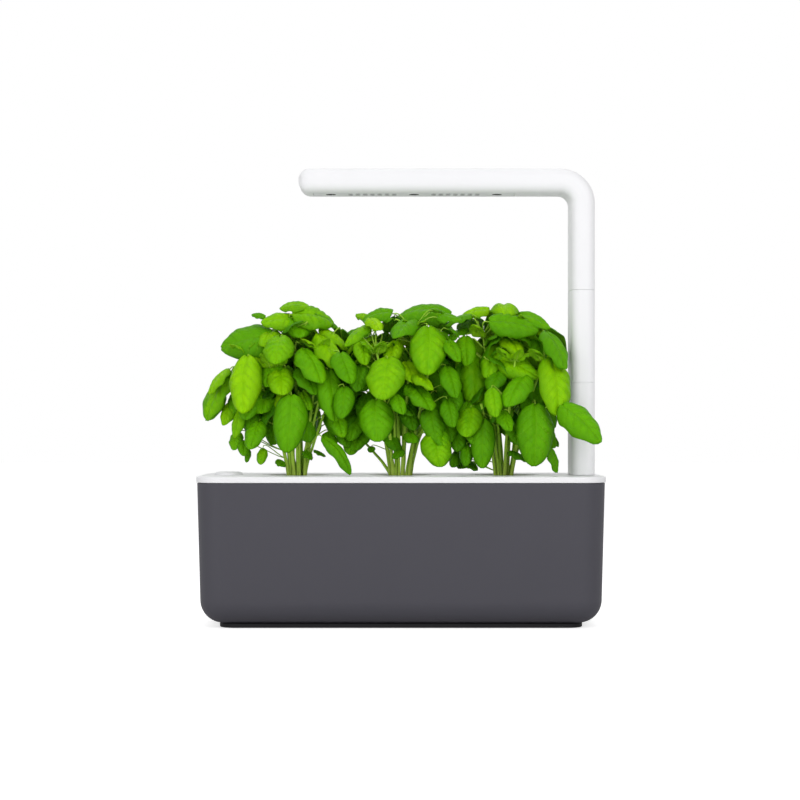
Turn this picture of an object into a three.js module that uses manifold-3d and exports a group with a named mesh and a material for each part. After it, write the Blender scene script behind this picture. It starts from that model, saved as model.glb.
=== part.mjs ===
// Countertop hydroponic garden: a water tank, a lid with three plant pods and a float, and a
// grow lamp on a column of plug-in tubes. Millimetres, +Z up, +X right, +Y back. The origin is
// the centre of the foot's underside.
import * as THREE from "three";
import { mergeVertices } from "three/addons/utils/BufferGeometryUtils.js";
import Module from "manifold-3d";

const wasm = await Module();
wasm.setup();

// Gaps and plays
const seatGap = 0.3; // between two pieces that rest on each other
const liftPlay = 0.5; // round a piece that lifts out, floats or plugs in
const cutOverrun = 1; // how far a cutter runs past the face that it opens
const joinSink = 0.4; // how far a joined shape reaches into its parent

// Foot
const footInset = 16; // from the tank's rim to the foot, seen from above
const footHeight = 3.4;
const footCorner = 12;
const footEdge = 0.7;
const footScrewInsetX = 29;
const footScrewInsetY = 18.5;
const footScrewRadius = 1.6;
const footScrewHead = 3.4;
const footScrewHeadHeight = 1.4;
const footScrewRecess = 0.6;
const footScrewLength = 8;
const footPadRadius = 7;
const footPadThickness = 1.3;
const footPadInset = 12;

// Tank
const tankLength = 300;
const tankDepth = 125;
const tankHeight = 102.9;
const tankWall = 2.5;
const tankFloor = 3;
const tankDraft = 2.7; // how far each side leans in from the rim to the bottom
const tankCorner = 20;
const tankBottomRadius = 17;
const bossRadius = 4.6;
const bossRise = 8;

// Lid
const lidOverhang = 0.75;
const lidRimHeight = 4.5;
const lidPlate = 2.5;
const lidEdge = 1.2;
const lidLipDepth = 6;
const lidLipWall = 1.5;
const lidSmallEdge = 0.4;

// Pods
const podCount = 3;
const podMargin = 33; // at each end of the run that the pods share
const podOpening = 24.6; // radius of the hole in the lid
const podFlange = 2.1; // how far the cup's flange reaches past the hole
const podFlangeThickness = 1.2;
const podCollarWall = 1.9;
const podCollarDepth = 1.9;
const cupWall = 1.6;
const cupDepth = 72;
const cupDraft = 4.2;
const basketWall = 1;
const basketLedge = 1;
const basketFlangeThickness = 1.2;
const basketSlotWidth = 3;
const basketSlotRim = 16; // from the flange down to the slots
const basketSlotFoot = 9; // from the floor up to the slots
const soilDrop = 3.6; // from the basket's top down to the soil
const collarThickness = 1;
const collarHole = 12.4;
const wickWidth = 12;
const wickThickness = 2.2;
const wickPadDepth = 14;
const wickClearance = 7; // from the tank's floor up to the wick

// Float
const floatSetback = 20.25; // from the lid's left edge to the float's middle
const floatOpening = 11.3;
const floatCapRise = 2.4;
const floatCapTop = 7;
const floatCapShoulder = 0.5;
const floatStem = 2;
const floatBulb = 12.2;
const floatBulbHeight = 20;
const floatBulbEdge = 2;
const floatTravel = 40;
const guideWall = 1.3;
const guideFloor = 1.4;
const guideDrain = 8;
const guideSlotWidth = 6;
const guideSlotMargin = 8;
const guideSocketWall = 1.5;
const guideSocketDepth = 5;

// Column and lamp
const columnSetback = 14.25; // from the lid's right edge to the column's middle
const columnWidth = 18;
const columnDepth = 40;
const columnCorner = 7;
const shellWall = 2;
const tubeEdge = 0.35;
const extensionLength = 69;
const spigotLength = 20;
const spigotWall = 1.6;
const shoulder = 3;
const lampHeight = 91.2; // from the leg's shoulder to the top of the head
const bendRadius = 26; // outer radius of the bend
const headReach = 213.5; // from the column's middle to the free end of the head
const headEndRadius = 6.5;

// Contacts and leads
const contactHeight = 6;
const plugHeight = 8;
const pinRadius = 1;
const pinLength = 4;
const pinPitch = 16;
const pinPlay = 0.3;
const leadRadius = 1.5;
const leadSag = 2.5;

// Dry box under the lid
const boxDepth = 81;
const boxLipGap = 1; // from the box to the lid's lip
const boxHeight = 28.9;
const boxWall = 1.8;
const boxCorner = 14;
const wellWall = 1.6;
const boardThickness = 1.6;
const boardMargin = 1.2;
const coverThickness = 1.8;
const postRadius = 3;
const postHole = 1.1;
const postSpan = 46;
const smallScrewRadius = 0.9;
const smallScrewHead = 2.2;
const smallScrewHeadHeight = 1.2;
const smallScrewLength = 12;

// Power inlet
const inletRadius = 4.5;
const inletBore = 3.2;
const inletPin = 1;
const inletBoreDepth = 5;
const inletBodyWidth = 10;
const inletBodyDepth = 9;
const inletBodyHeight = 11;
const inletPlay = 0.4;
const inletNotch = 6;

// Lamp cover, lights and heat sink
const coverStart = 10.8; // from the free end of the head to the cover
const coverLength = 152;
const coverWidth = 25.4;
const lampCoverThickness = 1.6;
const coverCorner = 5;
const wellEnd = 13.2; // from the cover's end to the outer screw wells
const screwWell = 3.5;
const screwWellWall = 1.2;
const screwWellFloor = 1.4;
const lightPitch = 5.5;
const lightRowPitch = 6.5;
const lightHole = 3.2;
const lightSize = 2.6;
const lightHeight = 1.2;
const lightsPerRow = 7;
const lightRows = 2;
const ledBoardWidth = 22;
const ledBoardMargin = 3;
const ledBoardThickness = 1.4;
const sinkWidth = 20;
const sinkBase = 1.6;
const sinkFin = 1.2;
const sinkHeight = 7;
const sinkFins = 5;
const sinkMargin = 16;
const coverScrewRadius = 1.1;
const coverScrewHead = 2.8;
const coverScrewHeadHeight = 1.5;
const coverScrewBite = 5;
const roofBossRadius = 3.4;

// Plants
const canopyHalfWidth = 72;
const canopyHalfDepth = 54;
const canopyHeight = 131.6;
const leafLength = 46;
const leafWidth = 30;
const leafThickness = 1.3;
const stemRadius = 1.6;
const petioleRadius = 0.7;
const elbowLength = 1.5; // from the stalk's bend to the blade
const stemSpread = 8.5;
const crownHeight = 2; // the root crown that the stems rise from

// Heights and half sizes that follow from the sizes above
const footLength = tankLength - footInset * 2;
const footDepth = tankDepth - footInset * 2;
const footScrewSpanX = footLength - footScrewInsetX * 2;
const footScrewSpanY = footDepth - footScrewInsetY * 2;
const footPadSpanX = footLength - footPadInset * 2;
const footPadSpanY = footDepth - footPadInset * 2;
const tankBottom = footHeight + seatGap;
const tankTop = tankBottom + tankHeight;
const tankFloorTop = tankBottom + tankFloor;
const lidBottom = tankTop + seatGap;
const lidTop = lidBottom + lidRimHeight;
const plateBottom = lidTop - lidPlate;
const lidHalfX = tankLength / 2 + lidOverhang;
const lidHalfY = tankDepth / 2 + lidOverhang;
const lidCorner = tankCorner + lidOverhang;
const columnX = lidHalfX - columnSetback;
const floatX = floatSetback - lidHalfX;
const lipInset = lidOverhang + tankWall + liftPlay;
const columnHalfX = columnWidth / 2;
const columnHalfY = columnDepth / 2;
const socketHalfX = columnHalfX - shellWall;
const socketHalfY = columnHalfY - shellWall;
const socketCorner = columnCorner - shellWall;
const spigotHalfX = socketHalfX - liftPlay / 2;
const spigotHalfY = socketHalfY - liftPlay / 2;
const spigotCorner = socketCorner - liftPlay / 2;
const lowerBase = lidTop + seatGap;
const upperBase = lowerBase + extensionLength + seatGap;
const lampBase = upperBase + extensionLength + seatGap;
const headTop = lampBase + lampHeight;
const headZ = headTop - columnHalfX;
const headBottom = headTop - columnWidth;
const headEndX = columnX - headReach;
const bendMiddle = bendRadius - columnHalfX; // radius of the bend's centre line

// Solids

// The sharpest that a drawn-in corner gets, as a share of its radius
const cornerLeastShare = 0.02;

// Turns a closed geometry into a solid with its faces pointing out.
function solid(geometry) {
  const bare = new THREE.BufferGeometry();
  bare.setAttribute("position", geometry.getAttribute("position"));
  if (geometry.index) bare.setIndex(geometry.index);
  const merged = mergeVertices(bare);
  const place = merged.getAttribute("position").array;
  const index = merged.index.array;
  const faces = [];
  let volume = 0;
  const a = new THREE.Vector3();
  const b = new THREE.Vector3();
  const c = new THREE.Vector3();
  for (let i = 0; i < index.length; i += 3) {
    const [p, q, r] = [index[i], index[i + 1], index[i + 2]];
    if (p === q || q === r || r === p) continue;
    faces.push([p, q, r]);
    a.fromArray(place, p * 3);
    b.fromArray(place, q * 3);
    c.fromArray(place, r * 3);
    volume += a.dot(b.cross(c));
  }
  const triVerts = Uint32Array.from(faces.flatMap(([p, q, r]) => (volume < 0 ? [p, r, q] : [p, q, r])));
  const vertProperties = Float32Array.from(place);
  return new wasm.Manifold(new wasm.Mesh({ numProp: 3, vertProperties, triVerts }));
}

function join(first, ...rest) {
  return rest.reduce((whole, next) => whole.add(next), first);
}

function cut(first, ...cutters) {
  return cutters.reduce((whole, next) => whole.subtract(next), first);
}

// The outer skin of a solid: pockets that crossing leaves enclose are filled.
function fillPockets(shape) {
  const skins = shape.decompose();
  return skins.reduce((largest, skin) => (skin.volume() > largest.volume() ? skin : largest));
}

// A surface through rings of points, closed by a flat fan at each end. Each ring runs
// anticlockwise as seen from the side that the next ring lies on.
function loft(rings) {
  const count = rings[0].length;
  const points = rings.flat();
  const faces = [];
  for (let k = 0; k + 1 < rings.length; k += 1) {
    for (let i = 0; i < count; i += 1) {
      const j = (i + 1) % count;
      const [a, b] = [k * count + i, k * count + j];
      faces.push(a, b, b + count, a, b + count, a + count);
    }
  }
  const last = (rings.length - 1) * count;
  for (let i = 1; i + 1 < count; i += 1) {
    faces.push(0, i + 1, i, last, last + i, last + i + 1);
  }
  const geometry = new THREE.BufferGeometry().setFromPoints(points);
  geometry.setIndex(faces);
  return solid(geometry);
}

// Points of a rounded rectangle, anticlockwise.
function roundedOutline(halfX, halfY, radius, steps) {
  const points = [];
  for (let corner = 0; corner < 4; corner += 1) {
    const signX = corner === 0 || corner === 3 ? 1 : -1;
    const signY = corner < 2 ? 1 : -1;
    for (let i = 0; i <= steps; i += 1) {
      const angle = (Math.PI / 2) * (corner + i / steps);
      const x = signX * (halfX - radius) + radius * Math.cos(angle);
      const y = signY * (halfY - radius) + radius * Math.sin(angle);
      points.push(new THREE.Vector2(x, y));
    }
  }
  return points;
}

// Rings of a rounded rectangle that is drawn in by an inset at each height.
function roundedRings(halfX, halfY, radius, steps, stations, x = 0, y = 0) {
  return stations.map(([inset, z]) => {
    const corner = Math.max(radius - inset, cornerLeastShare * radius);
    const outline = roundedOutline(halfX - inset, halfY - inset, corner, steps);
    return outline.map((p) => new THREE.Vector3(p.x + x, p.y + y, z));
  });
}

function roundedPrism(halfX, halfY, radius, from, to, x = 0, y = 0, steps = 3) {
  return loft(roundedRings(halfX, halfY, radius, steps, [[0, from], [0, to]], x, y));
}

// A prism whose two ends have a small chamfer.
function softPrism(halfX, halfY, radius, edge, from, to, x = 0, y = 0, steps = 4) {
  const stations = [[edge, from], [0, from + edge], [0, to - edge], [edge, to]];
  return loft(roundedRings(halfX, halfY, radius, steps, stations, x, y));
}

// A revolved profile of [radius, height] pairs round a vertical axis.
function revolve(profile, x = 0, y = 0, sides = podSides) {
  const points = profile.map(([radius, z]) => new THREE.Vector2(radius, z));
  const geometry = new THREE.LatheGeometry(points, sides);
  geometry.rotateX(Math.PI / 2);
  geometry.translate(x, y, 0);
  return solid(geometry);
}

function rod(radius, from, to, x = 0, y = 0, sides = 10) {
  const geometry = new THREE.CylinderGeometry(radius, radius, to - from, sides);
  geometry.rotateX(Math.PI / 2);
  geometry.translate(x, y, (from + to) / 2);
  return solid(geometry);
}

function rodAlongY(radius, from, to, x, z, sides = 12) {
  const geometry = new THREE.CylinderGeometry(radius, radius, to - from, sides);
  geometry.translate(x, (from + to) / 2, z);
  return solid(geometry);
}

// A box between two corners.
function block(low, high) {
  const size = high.map((value, i) => value - low[i]);
  const geometry = new THREE.BoxGeometry(...size);
  geometry.translate(...low.map((value, i) => value + size[i] / 2));
  return solid(geometry);
}

// A round lead along a curve.
function lead(points, steps) {
  const circle = new THREE.Shape().absarc(0, 0, leadRadius, 0, 2 * Math.PI);
  const path = new THREE.CatmullRomCurve3(points);
  const options = { extrudePath: path, steps, curveSegments: 4, bevelEnabled: false };
  return solid(new THREE.ExtrudeGeometry(circle, options));
}

// The group and its materials
const garden = new THREE.Group();

const finishes = {
  tankPlastic: { color: 0x4a4950, roughness: 0.42, metalness: 0 },
  footPlastic: { color: 0x242428, roughness: 0.6, metalness: 0 },
  whitePlastic: { color: 0xf2f2f1, roughness: 0.35, metalness: 0 },
  lampWhite: { color: 0xf7f7f6, roughness: 0.3, metalness: 0 },
  coverGrey: { color: 0xd9d9dc, roughness: 0.45, metalness: 0 },
  rubber: { color: 0x1c1c1e, roughness: 0.85, metalness: 0 },
  steel: { color: 0xb9bcc0, roughness: 0.35, metalness: 1 },
  aluminium: { color: 0xc8cacc, roughness: 0.4, metalness: 1 },
  brass: { color: 0xc9a24a, roughness: 0.35, metalness: 1 },
  darkPlastic: { color: 0x2b2b2e, roughness: 0.5, metalness: 0 },
  board: { color: 0xe8ebe6, roughness: 0.5, metalness: 0 },
  felt: { color: 0xd8d4c8, roughness: 1, metalness: 0 },
  foam: { color: 0xeceae4, roughness: 0.9, metalness: 0 },
  podPlastic: { color: 0xe6e6e0, roughness: 0.5, metalness: 0 },
  soil: { color: 0x3b2a1e, roughness: 1, metalness: 0 },
  paper: { color: 0xf0efe9, roughness: 0.8, metalness: 0 },
  leaf: { color: 0x4f9a10, roughness: 0.5, metalness: 0 },
};

function addPiece(name, shape, finish) {
  const mesh = shape.getMesh();
  const geometry = new THREE.BufferGeometry();
  const stride = mesh.numProp;
  const place = new Float32Array((mesh.vertProperties.length / stride) * 3);
  for (let i = 0; i < place.length / 3; i += 1) {
    place.set(mesh.vertProperties.subarray(i * stride, i * stride + 3), i * 3);
  }
  geometry.setAttribute("position", new THREE.BufferAttribute(place, 3));
  geometry.setIndex(new THREE.BufferAttribute(mesh.triVerts, 1));
  geometry.computeVertexNormals();
  const piece = new THREE.Mesh(geometry, new THREE.MeshStandardMaterial(finishes[finish]));
  piece.name = name;
  garden.add(piece);
}

// The four signs of a rectangular pattern
const corners = [[-1, -1], [1, -1], [1, 1], [-1, 1]];

// A screw whose head lies below its shaft.
function screw(x, y, headRadius, headFrom, headHeight, shaftRadius, length) {
  const profile = [
    [0, headFrom],
    [headRadius, headFrom],
    [headRadius, headFrom + headHeight / 2],
    [shaftRadius, headFrom + headHeight],
    [shaftRadius, headFrom + headHeight + length],
    [0, headFrom + headHeight + length],
  ];
  return revolve(profile, x, y, 8);
}

// How far the tank's outer wall has leaned in at a height.
function tankInset(z) {
  return (tankDraft * (tankTop - z)) / tankHeight;
}

// One quarter round between the tank's floor and its side, drawn from the floor up.
function tankRounding(inset, radius, bottom, steps) {
  const stations = [];
  const sideInset = inset + tankInset(bottom + radius);
  for (let i = 0; i <= steps; i += 1) {
    const angle = ((Math.PI / 2) * i) / steps;
    stations.push([sideInset + radius * (1 - Math.sin(angle)), bottom + radius * (1 - Math.cos(angle))]);
  }
  return stations;
}

function makeTank() {
  const roundingSteps = 4;
  const outside = tankRounding(0, tankBottomRadius, tankBottom, roundingSteps);
  const inside = tankRounding(tankWall, tankBottomRadius - tankWall, tankFloorTop, roundingSteps);
  const stations = [...outside, [0, tankTop], [tankWall, tankTop], ...inside.reverse()];
  let tank = loft(roundedRings(tankLength / 2, tankDepth / 2, tankCorner, 4, stations));
  for (const [sx, sy] of corners) {
    const x = (sx * footScrewSpanX) / 2;
    const y = (sy * footScrewSpanY) / 2;
    const boss = rod(bossRadius, tankFloorTop - joinSink, tankFloorTop + bossRise, x, y, 8);
    const pilotTop = tankBottom + footScrewLength;
    const pilot = rod(footScrewRadius + pinPlay, tankBottom - cutOverrun, pilotTop, x, y, 8);
    tank = cut(join(tank, boss), pilot);
  }
  const rear = tankDepth / 2;
  const notch = [
    block(
      [inletX - inletNotch, rear - tankCorner / 2, inletZ],
      [inletX + inletNotch, rear + cutOverrun, tankTop + cutOverrun],
    ),
    rodAlongY(inletNotch, rear - tankCorner / 2, rear + cutOverrun, inletX, inletZ, 12),
  ];
  tank = cut(tank, ...notch);
  addPiece("tub", tank, "tankPlastic");
}

function makeFoot() {
  let foot = softPrism(footLength / 2, footDepth / 2, footCorner, footEdge, 0, footHeight, 0, 0, 3);
  corners.forEach(([sx, sy], i) => {
    const x = (sx * footScrewSpanX) / 2;
    const y = (sy * footScrewSpanY) / 2;
    const hole = rod(footScrewRadius + pinPlay, -cutOverrun, footHeight + cutOverrun, x, y, 8);
    const sinkTop = footScrewRecess + footScrewHeadHeight + seatGap;
    const sink = rod(footScrewHead + pinPlay, -cutOverrun, sinkTop, x, y, 8);
    foot = cut(foot, hole, sink);
    const fastener = screw(
      x,
      y,
      footScrewHead,
      footScrewRecess,
      footScrewHeadHeight,
      footScrewRadius,
      footScrewLength,
    );
    addPiece(`foot_screw_${i + 1}`, fastener, "steel");
    const padX = (sx * footPadSpanX) / 2;
    const padY = (sy * footPadSpanY) / 2;
    foot = cut(foot, rod(footPadRadius + seatGap, -cutOverrun, footPadThickness + seatGap, padX, padY));
    addPiece(`foot_pad_${i + 1}`, rod(footPadRadius, 0, footPadThickness, padX, padY), "rubber");
  });
  addPiece("base_foot", foot, "footPlastic");
}

// Pods: the places, and the radii and heights that the cup, the basket and the soil share
const podSides = 14;
const podPitch = (tankLength - podMargin * 2) / podCount;
const pods = [
  { side: "left", x: -podPitch },
  { side: "middle", x: 0 },
  { side: "right", x: podPitch },
];
const cupTop = lidTop - seatGap;
const cupFlangeBottom = cupTop - podFlangeThickness;
const cupFlangeRadius = podOpening + podFlange;
const podRecess = cupFlangeBottom - seatGap; // the ledge in the lid
const cupRadius = podOpening - liftPlay;
const cupFoot = cupRadius - cupDraft;
const cupBottom = cupTop - cupDepth;
const cupFloorTop = cupBottom + cupWall;
const basketTop = cupTop - seatGap;
const basketFlangeBottom = basketTop - basketFlangeThickness;
const cupLedge = basketFlangeBottom - seatGap;
const cupBore = cupRadius - cupWall;
const cupBoreFoot = cupFoot - cupWall;
const basketFlangeRadius = cupBore + basketLedge - seatGap;
const basketRadius = cupBore - liftPlay;
const basketFoot = cupBoreFoot - liftPlay;
const wickPadBottom = cupFloorTop + seatGap;
const basketBottom = wickPadBottom + wickThickness + seatGap;
const basketFloorTop = basketBottom + basketWall;
const soilTop = basketTop - soilDrop;
const soilBottom = basketFloorTop + seatGap;

function makeCup(pod) {
  const cup = revolve(
    [
      [0, cupBottom],
      [cupFoot, cupBottom],
      [cupRadius, cupFlangeBottom],
      [cupFlangeRadius, cupFlangeBottom],
      [cupFlangeRadius, cupTop],
      [cupBore + basketLedge, cupTop],
      [cupBore + basketLedge, cupLedge],
      [cupBore, cupLedge],
      [cupBoreFoot, cupFloorTop],
      [0, cupFloorTop],
    ],
    pod.x,
  );
  const slotX = wickWidth / 2 + liftPlay;
  const slotY = wickThickness / 2 + liftPlay;
  const slot = block(
    [pod.x - slotX, -slotY, cupBottom - cutOverrun],
    [pod.x + slotX, slotY, cupFloorTop + cutOverrun],
  );
  addPiece(`pod_cup_${pod.side}`, cut(cup, slot), "whitePlastic");
}

function makeWick(pod) {
  const tail = block(
    [pod.x - wickWidth / 2, -wickThickness / 2, tankFloorTop + wickClearance],
    [pod.x + wickWidth / 2, wickThickness / 2, wickPadBottom + joinSink],
  );
  const pad = roundedPrism(
    wickWidth / 2,
    wickPadDepth / 2,
    wickThickness,
    wickPadBottom,
    wickPadBottom + wickThickness,
    pod.x,
  );
  addPiece(`wick_${pod.side}`, join(pad, tail), "felt");
}

function makeBasket(pod) {
  let basket = revolve(
    [
      [0, basketBottom],
      [basketFoot, basketBottom],
      [basketRadius, basketFlangeBottom],
      [basketFlangeRadius, basketFlangeBottom],
      [basketFlangeRadius, basketTop],
      [basketRadius - basketWall, basketTop],
      [basketFoot - basketWall, basketFloorTop],
      [0, basketFloorTop],
    ],
    pod.x,
  );
  const slotFrom = basketFloorTop + basketSlotFoot;
  const slotTo = basketFlangeBottom - basketSlotRim;
  const slotPairs = 3;
  for (let i = 0; i < slotPairs; i += 1) {
    const bar = new THREE.BoxGeometry(basketRadius * 2 + cutOverrun, basketSlotWidth, slotTo - slotFrom);
    bar.rotateZ((Math.PI * (i + 1 / 2)) / slotPairs);
    bar.translate(pod.x, 0, (slotFrom + slotTo) / 2);
    basket = cut(basket, solid(bar));
  }
  addPiece(`pod_basket_${pod.side}`, basket, "podPlastic");
}

// Inner radius of the basket at a height
function basketBoreAt(z) {
  const share = (z - basketFloorTop) / (basketTop - basketFloorTop);
  return basketFoot - basketWall + (basketRadius - basketFoot) * share;
}

function makeSoil(pod) {
  const soil = revolve(
    [
      [0, soilBottom],
      [basketBoreAt(soilBottom) - liftPlay, soilBottom],
      [basketBoreAt(soilTop) - liftPlay, soilTop],
      [0, soilTop],
    ],
    pod.x,
  );
  addPiece(`soil_plug_${pod.side}`, soil, "soil");
  const collarFrom = soilTop + seatGap;
  const collarTo = collarFrom + collarThickness;
  const rimRadius = basketBoreAt(collarFrom) - liftPlay;
  const collar = revolve(
    [
      [collarHole, collarFrom],
      [rimRadius, collarFrom],
      [rimRadius, collarTo],
      [collarHole, collarTo],
      [collarHole, collarFrom],
    ],
    pod.x,
  );
  addPiece(`pod_collar_${pod.side}`, collar, "paper");
}

// Lid values that its own pieces share
const podCollarRadius = cupFlangeRadius + seatGap + podCollarWall;
const boxLeft = podPitch + podCollarRadius;
const boxRight = lidHalfX - lipInset - boxLipGap;
const boxLength = boxRight - boxLeft;
const boxX = (boxLeft + boxRight) / 2;
const boxBottom = plateBottom - boxHeight;
const boxRear = lidHalfY - lipInset - lidLipWall - boxLipGap;
const boxFront = boxRear - boxDepth;
const boxCentreY = (boxRear + boxFront) / 2;
const spigotBottom = lowerBase - spigotLength;
const contactsTop = spigotBottom - seatGap;
const contactsBottom = contactsTop - contactHeight;
const boardTop = contactsBottom - seatGap;
const boardBottom = boardTop - boardThickness;
const socketCoverTop = boxBottom + coverThickness;
const inletX = boxX;
const inletZ = boardTop + seatGap + inletBodyHeight / 2;
const guideRadius = floatBulb + liftPlay;
const guideOuter = guideRadius + guideWall;
const floatSides = 16;
const bulbTop = plateBottom - seatGap;
const bulbBottom = bulbTop - floatBulbHeight;
const guideFloorTop = bulbBottom - floatTravel - seatGap;
const postX = boxLeft + boxWall + boardMargin + postRadius;
const posts = [0, postSpan].map((step) => ({ x: postX, y: boxFront + boxCorner + step }));

function makeLid() {
  const stations = [
    [lipInset + lidLipWall, plateBottom],
    [lipInset + lidLipWall, lidBottom - lidLipDepth],
    [lipInset, lidBottom - lidLipDepth],
    [lipInset, lidBottom],
    [lidSmallEdge, lidBottom],
    [0, lidBottom + lidSmallEdge],
  ];
  const roundingSteps = 2;
  for (let i = 0; i <= roundingSteps; i += 1) {
    const angle = ((Math.PI / 2) * i) / roundingSteps;
    stations.push([lidEdge * (1 - Math.cos(angle)), lidTop - lidEdge * (1 - Math.sin(angle))]);
  }
  let lid = loft(roundedRings(lidHalfX, lidHalfY, lidCorner, 4, stations));
  const inPlate = plateBottom + joinSink;

  // Dry box with the lamp's socket well
  const box = roundedPrism(boxLength / 2, boxDepth / 2, boxCorner, boxBottom, inPlate, boxX, boxCentreY);
  const boxInside = roundedPrism(
    boxLength / 2 - boxWall,
    boxDepth / 2 - boxWall,
    boxCorner - boxWall,
    boxBottom - cutOverrun,
    plateBottom,
    boxX,
    boxCentreY,
  );
  const well = roundedPrism(
    socketHalfX + wellWall,
    socketHalfY + wellWall,
    socketCorner + wellWall,
    contactsBottom,
    inPlate,
    columnX,
  );
  const wellBore = roundedPrism(
    socketHalfX,
    socketHalfY,
    socketCorner,
    boxBottom - cutOverrun,
    lidTop + cutOverrun,
    columnX,
  );
  lid = join(lid, cut(box, boxInside), well);
  for (const post of posts) lid = join(lid, rod(postRadius, boardTop + seatGap, inPlate, post.x, post.y));
  lid = cut(lid, wellBore);
  for (const post of posts) {
    const depth = boardTop + smallScrewLength;
    lid = cut(lid, rod(postHole, boardTop - cutOverrun, depth, post.x, post.y, 8));
  }
  const wallIn = boxRear - boxWall - cutOverrun;
  lid = cut(lid, rodAlongY(inletRadius + inletPlay, wallIn, boxRear + cutOverrun, inletX, inletZ, 12));

  // Pod openings, each with a ledge for the cup's flange
  for (const pod of pods) {
    const collar = rod(podCollarRadius, plateBottom - podCollarDepth, inPlate, pod.x, 0, podSides);
    lid = join(lid, collar);
  }
  for (const pod of pods) {
    const recess = cupFlangeRadius + seatGap;
    const hole = rod(podOpening, boxBottom, lidTop + cutOverrun, pod.x, 0, podSides);
    lid = cut(lid, hole, rod(recess, podRecess, lidTop + cutOverrun, pod.x, 0, podSides));
  }

  // Float opening and the socket that holds its guide
  const guideSocket = rod(
    guideOuter + seatGap + guideSocketWall,
    plateBottom - guideSocketDepth,
    inPlate,
    floatX,
    0,
    floatSides,
  );
  const guideBore = rod(
    guideOuter + seatGap,
    plateBottom - guideSocketDepth - lidLipDepth,
    plateBottom,
    floatX,
    0,
    floatSides,
  );
  const opening = rod(floatOpening, plateBottom - cutOverrun, lidTop + cutOverrun, floatX, 0, floatSides);
  lid = cut(join(lid, guideSocket), guideBore, opening);
  addPiece("lid", lid, "whitePlastic");
}

function makeFloat() {
  const guideTop = plateBottom - seatGap;
  const guideFoot = guideFloorTop - guideFloor;
  let guide = revolve(
    [
      [guideDrain, guideFoot],
      [guideOuter, guideFoot],
      [guideOuter, guideTop],
      [guideRadius, guideTop],
      [guideRadius, guideFloorTop],
      [guideDrain, guideFloorTop],
      [guideDrain, guideFoot],
    ],
    floatX,
  );
  const slotHalf = guideSlotWidth / 2;
  const slotFrom = guideFloorTop + guideSlotMargin;
  const slotTo = guideTop - guideSocketDepth - guideSlotMargin;
  const reach = guideOuter + cutOverrun;
  guide = cut(
    guide,
    block([floatX - reach, -slotHalf, slotFrom], [floatX + reach, slotHalf, slotTo]),
    block([floatX - slotHalf, -reach, slotFrom], [floatX + slotHalf, reach, slotTo]),
  );
  addPiece("float_guide", guide, "whitePlastic");

  const bulb = revolve(
    [
      [floatStem + seatGap, bulbBottom],
      [floatBulb - floatBulbEdge, bulbBottom],
      [floatBulb, bulbBottom + floatBulbEdge],
      [floatBulb, bulbTop - floatBulbEdge / 2],
      [floatBulb - floatBulbEdge / 2, bulbTop],
      [floatStem + seatGap, bulbTop],
      [floatStem + seatGap, bulbBottom],
    ],
    floatX,
  );
  addPiece("float_bulb", bulb, "foam");

  const capRadius = floatOpening - liftPlay;
  const capTop = lidTop + floatCapRise;
  const cap = revolve(
    [
      [0, bulbBottom],
      [floatStem, bulbBottom],
      [floatStem, bulbTop + seatGap],
      [capRadius, bulbTop + seatGap],
      [capRadius, lidTop + floatCapShoulder],
      [floatCapTop + floatCapShoulder, capTop - floatCapShoulder / 2],
      [floatCapTop, capTop],
      [0, capTop],
    ],
    floatX,
    0,
    floatSides,
  );
  addPiece("float_cap", cap, "whitePlastic");
}

// A plug in a spigot: a block with two contact pins that point down.
function plug(bottom, x) {
  const halfX = spigotHalfX - spigotWall - seatGap;
  const halfY = spigotHalfY - spigotWall - seatGap;
  let shape = roundedPrism(halfX, halfY, spigotCorner - spigotWall, bottom, bottom + plugHeight, x, 0, 2);
  for (const side of [-1, 1]) {
    const y = (side * pinPitch) / 2;
    shape = join(shape, rod(pinRadius, bottom - pinLength, bottom + joinSink, x, y, 8));
  }
  return shape;
}

// A contact block under a socket, with a hole for each pin.
function contacts(top, x) {
  const halfX = socketHalfX - seatGap;
  const halfY = socketHalfY - seatGap;
  let shape = roundedPrism(halfX, halfY, socketCorner, top - contactHeight, top, x, 0, 2);
  for (const side of [-1, 1]) {
    const y = (side * pinPitch) / 2;
    shape = cut(shape, rod(pinRadius + pinPlay, top - pinLength - pinPlay, top + cutOverrun, x, y, 8));
  }
  return shape;
}

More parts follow.
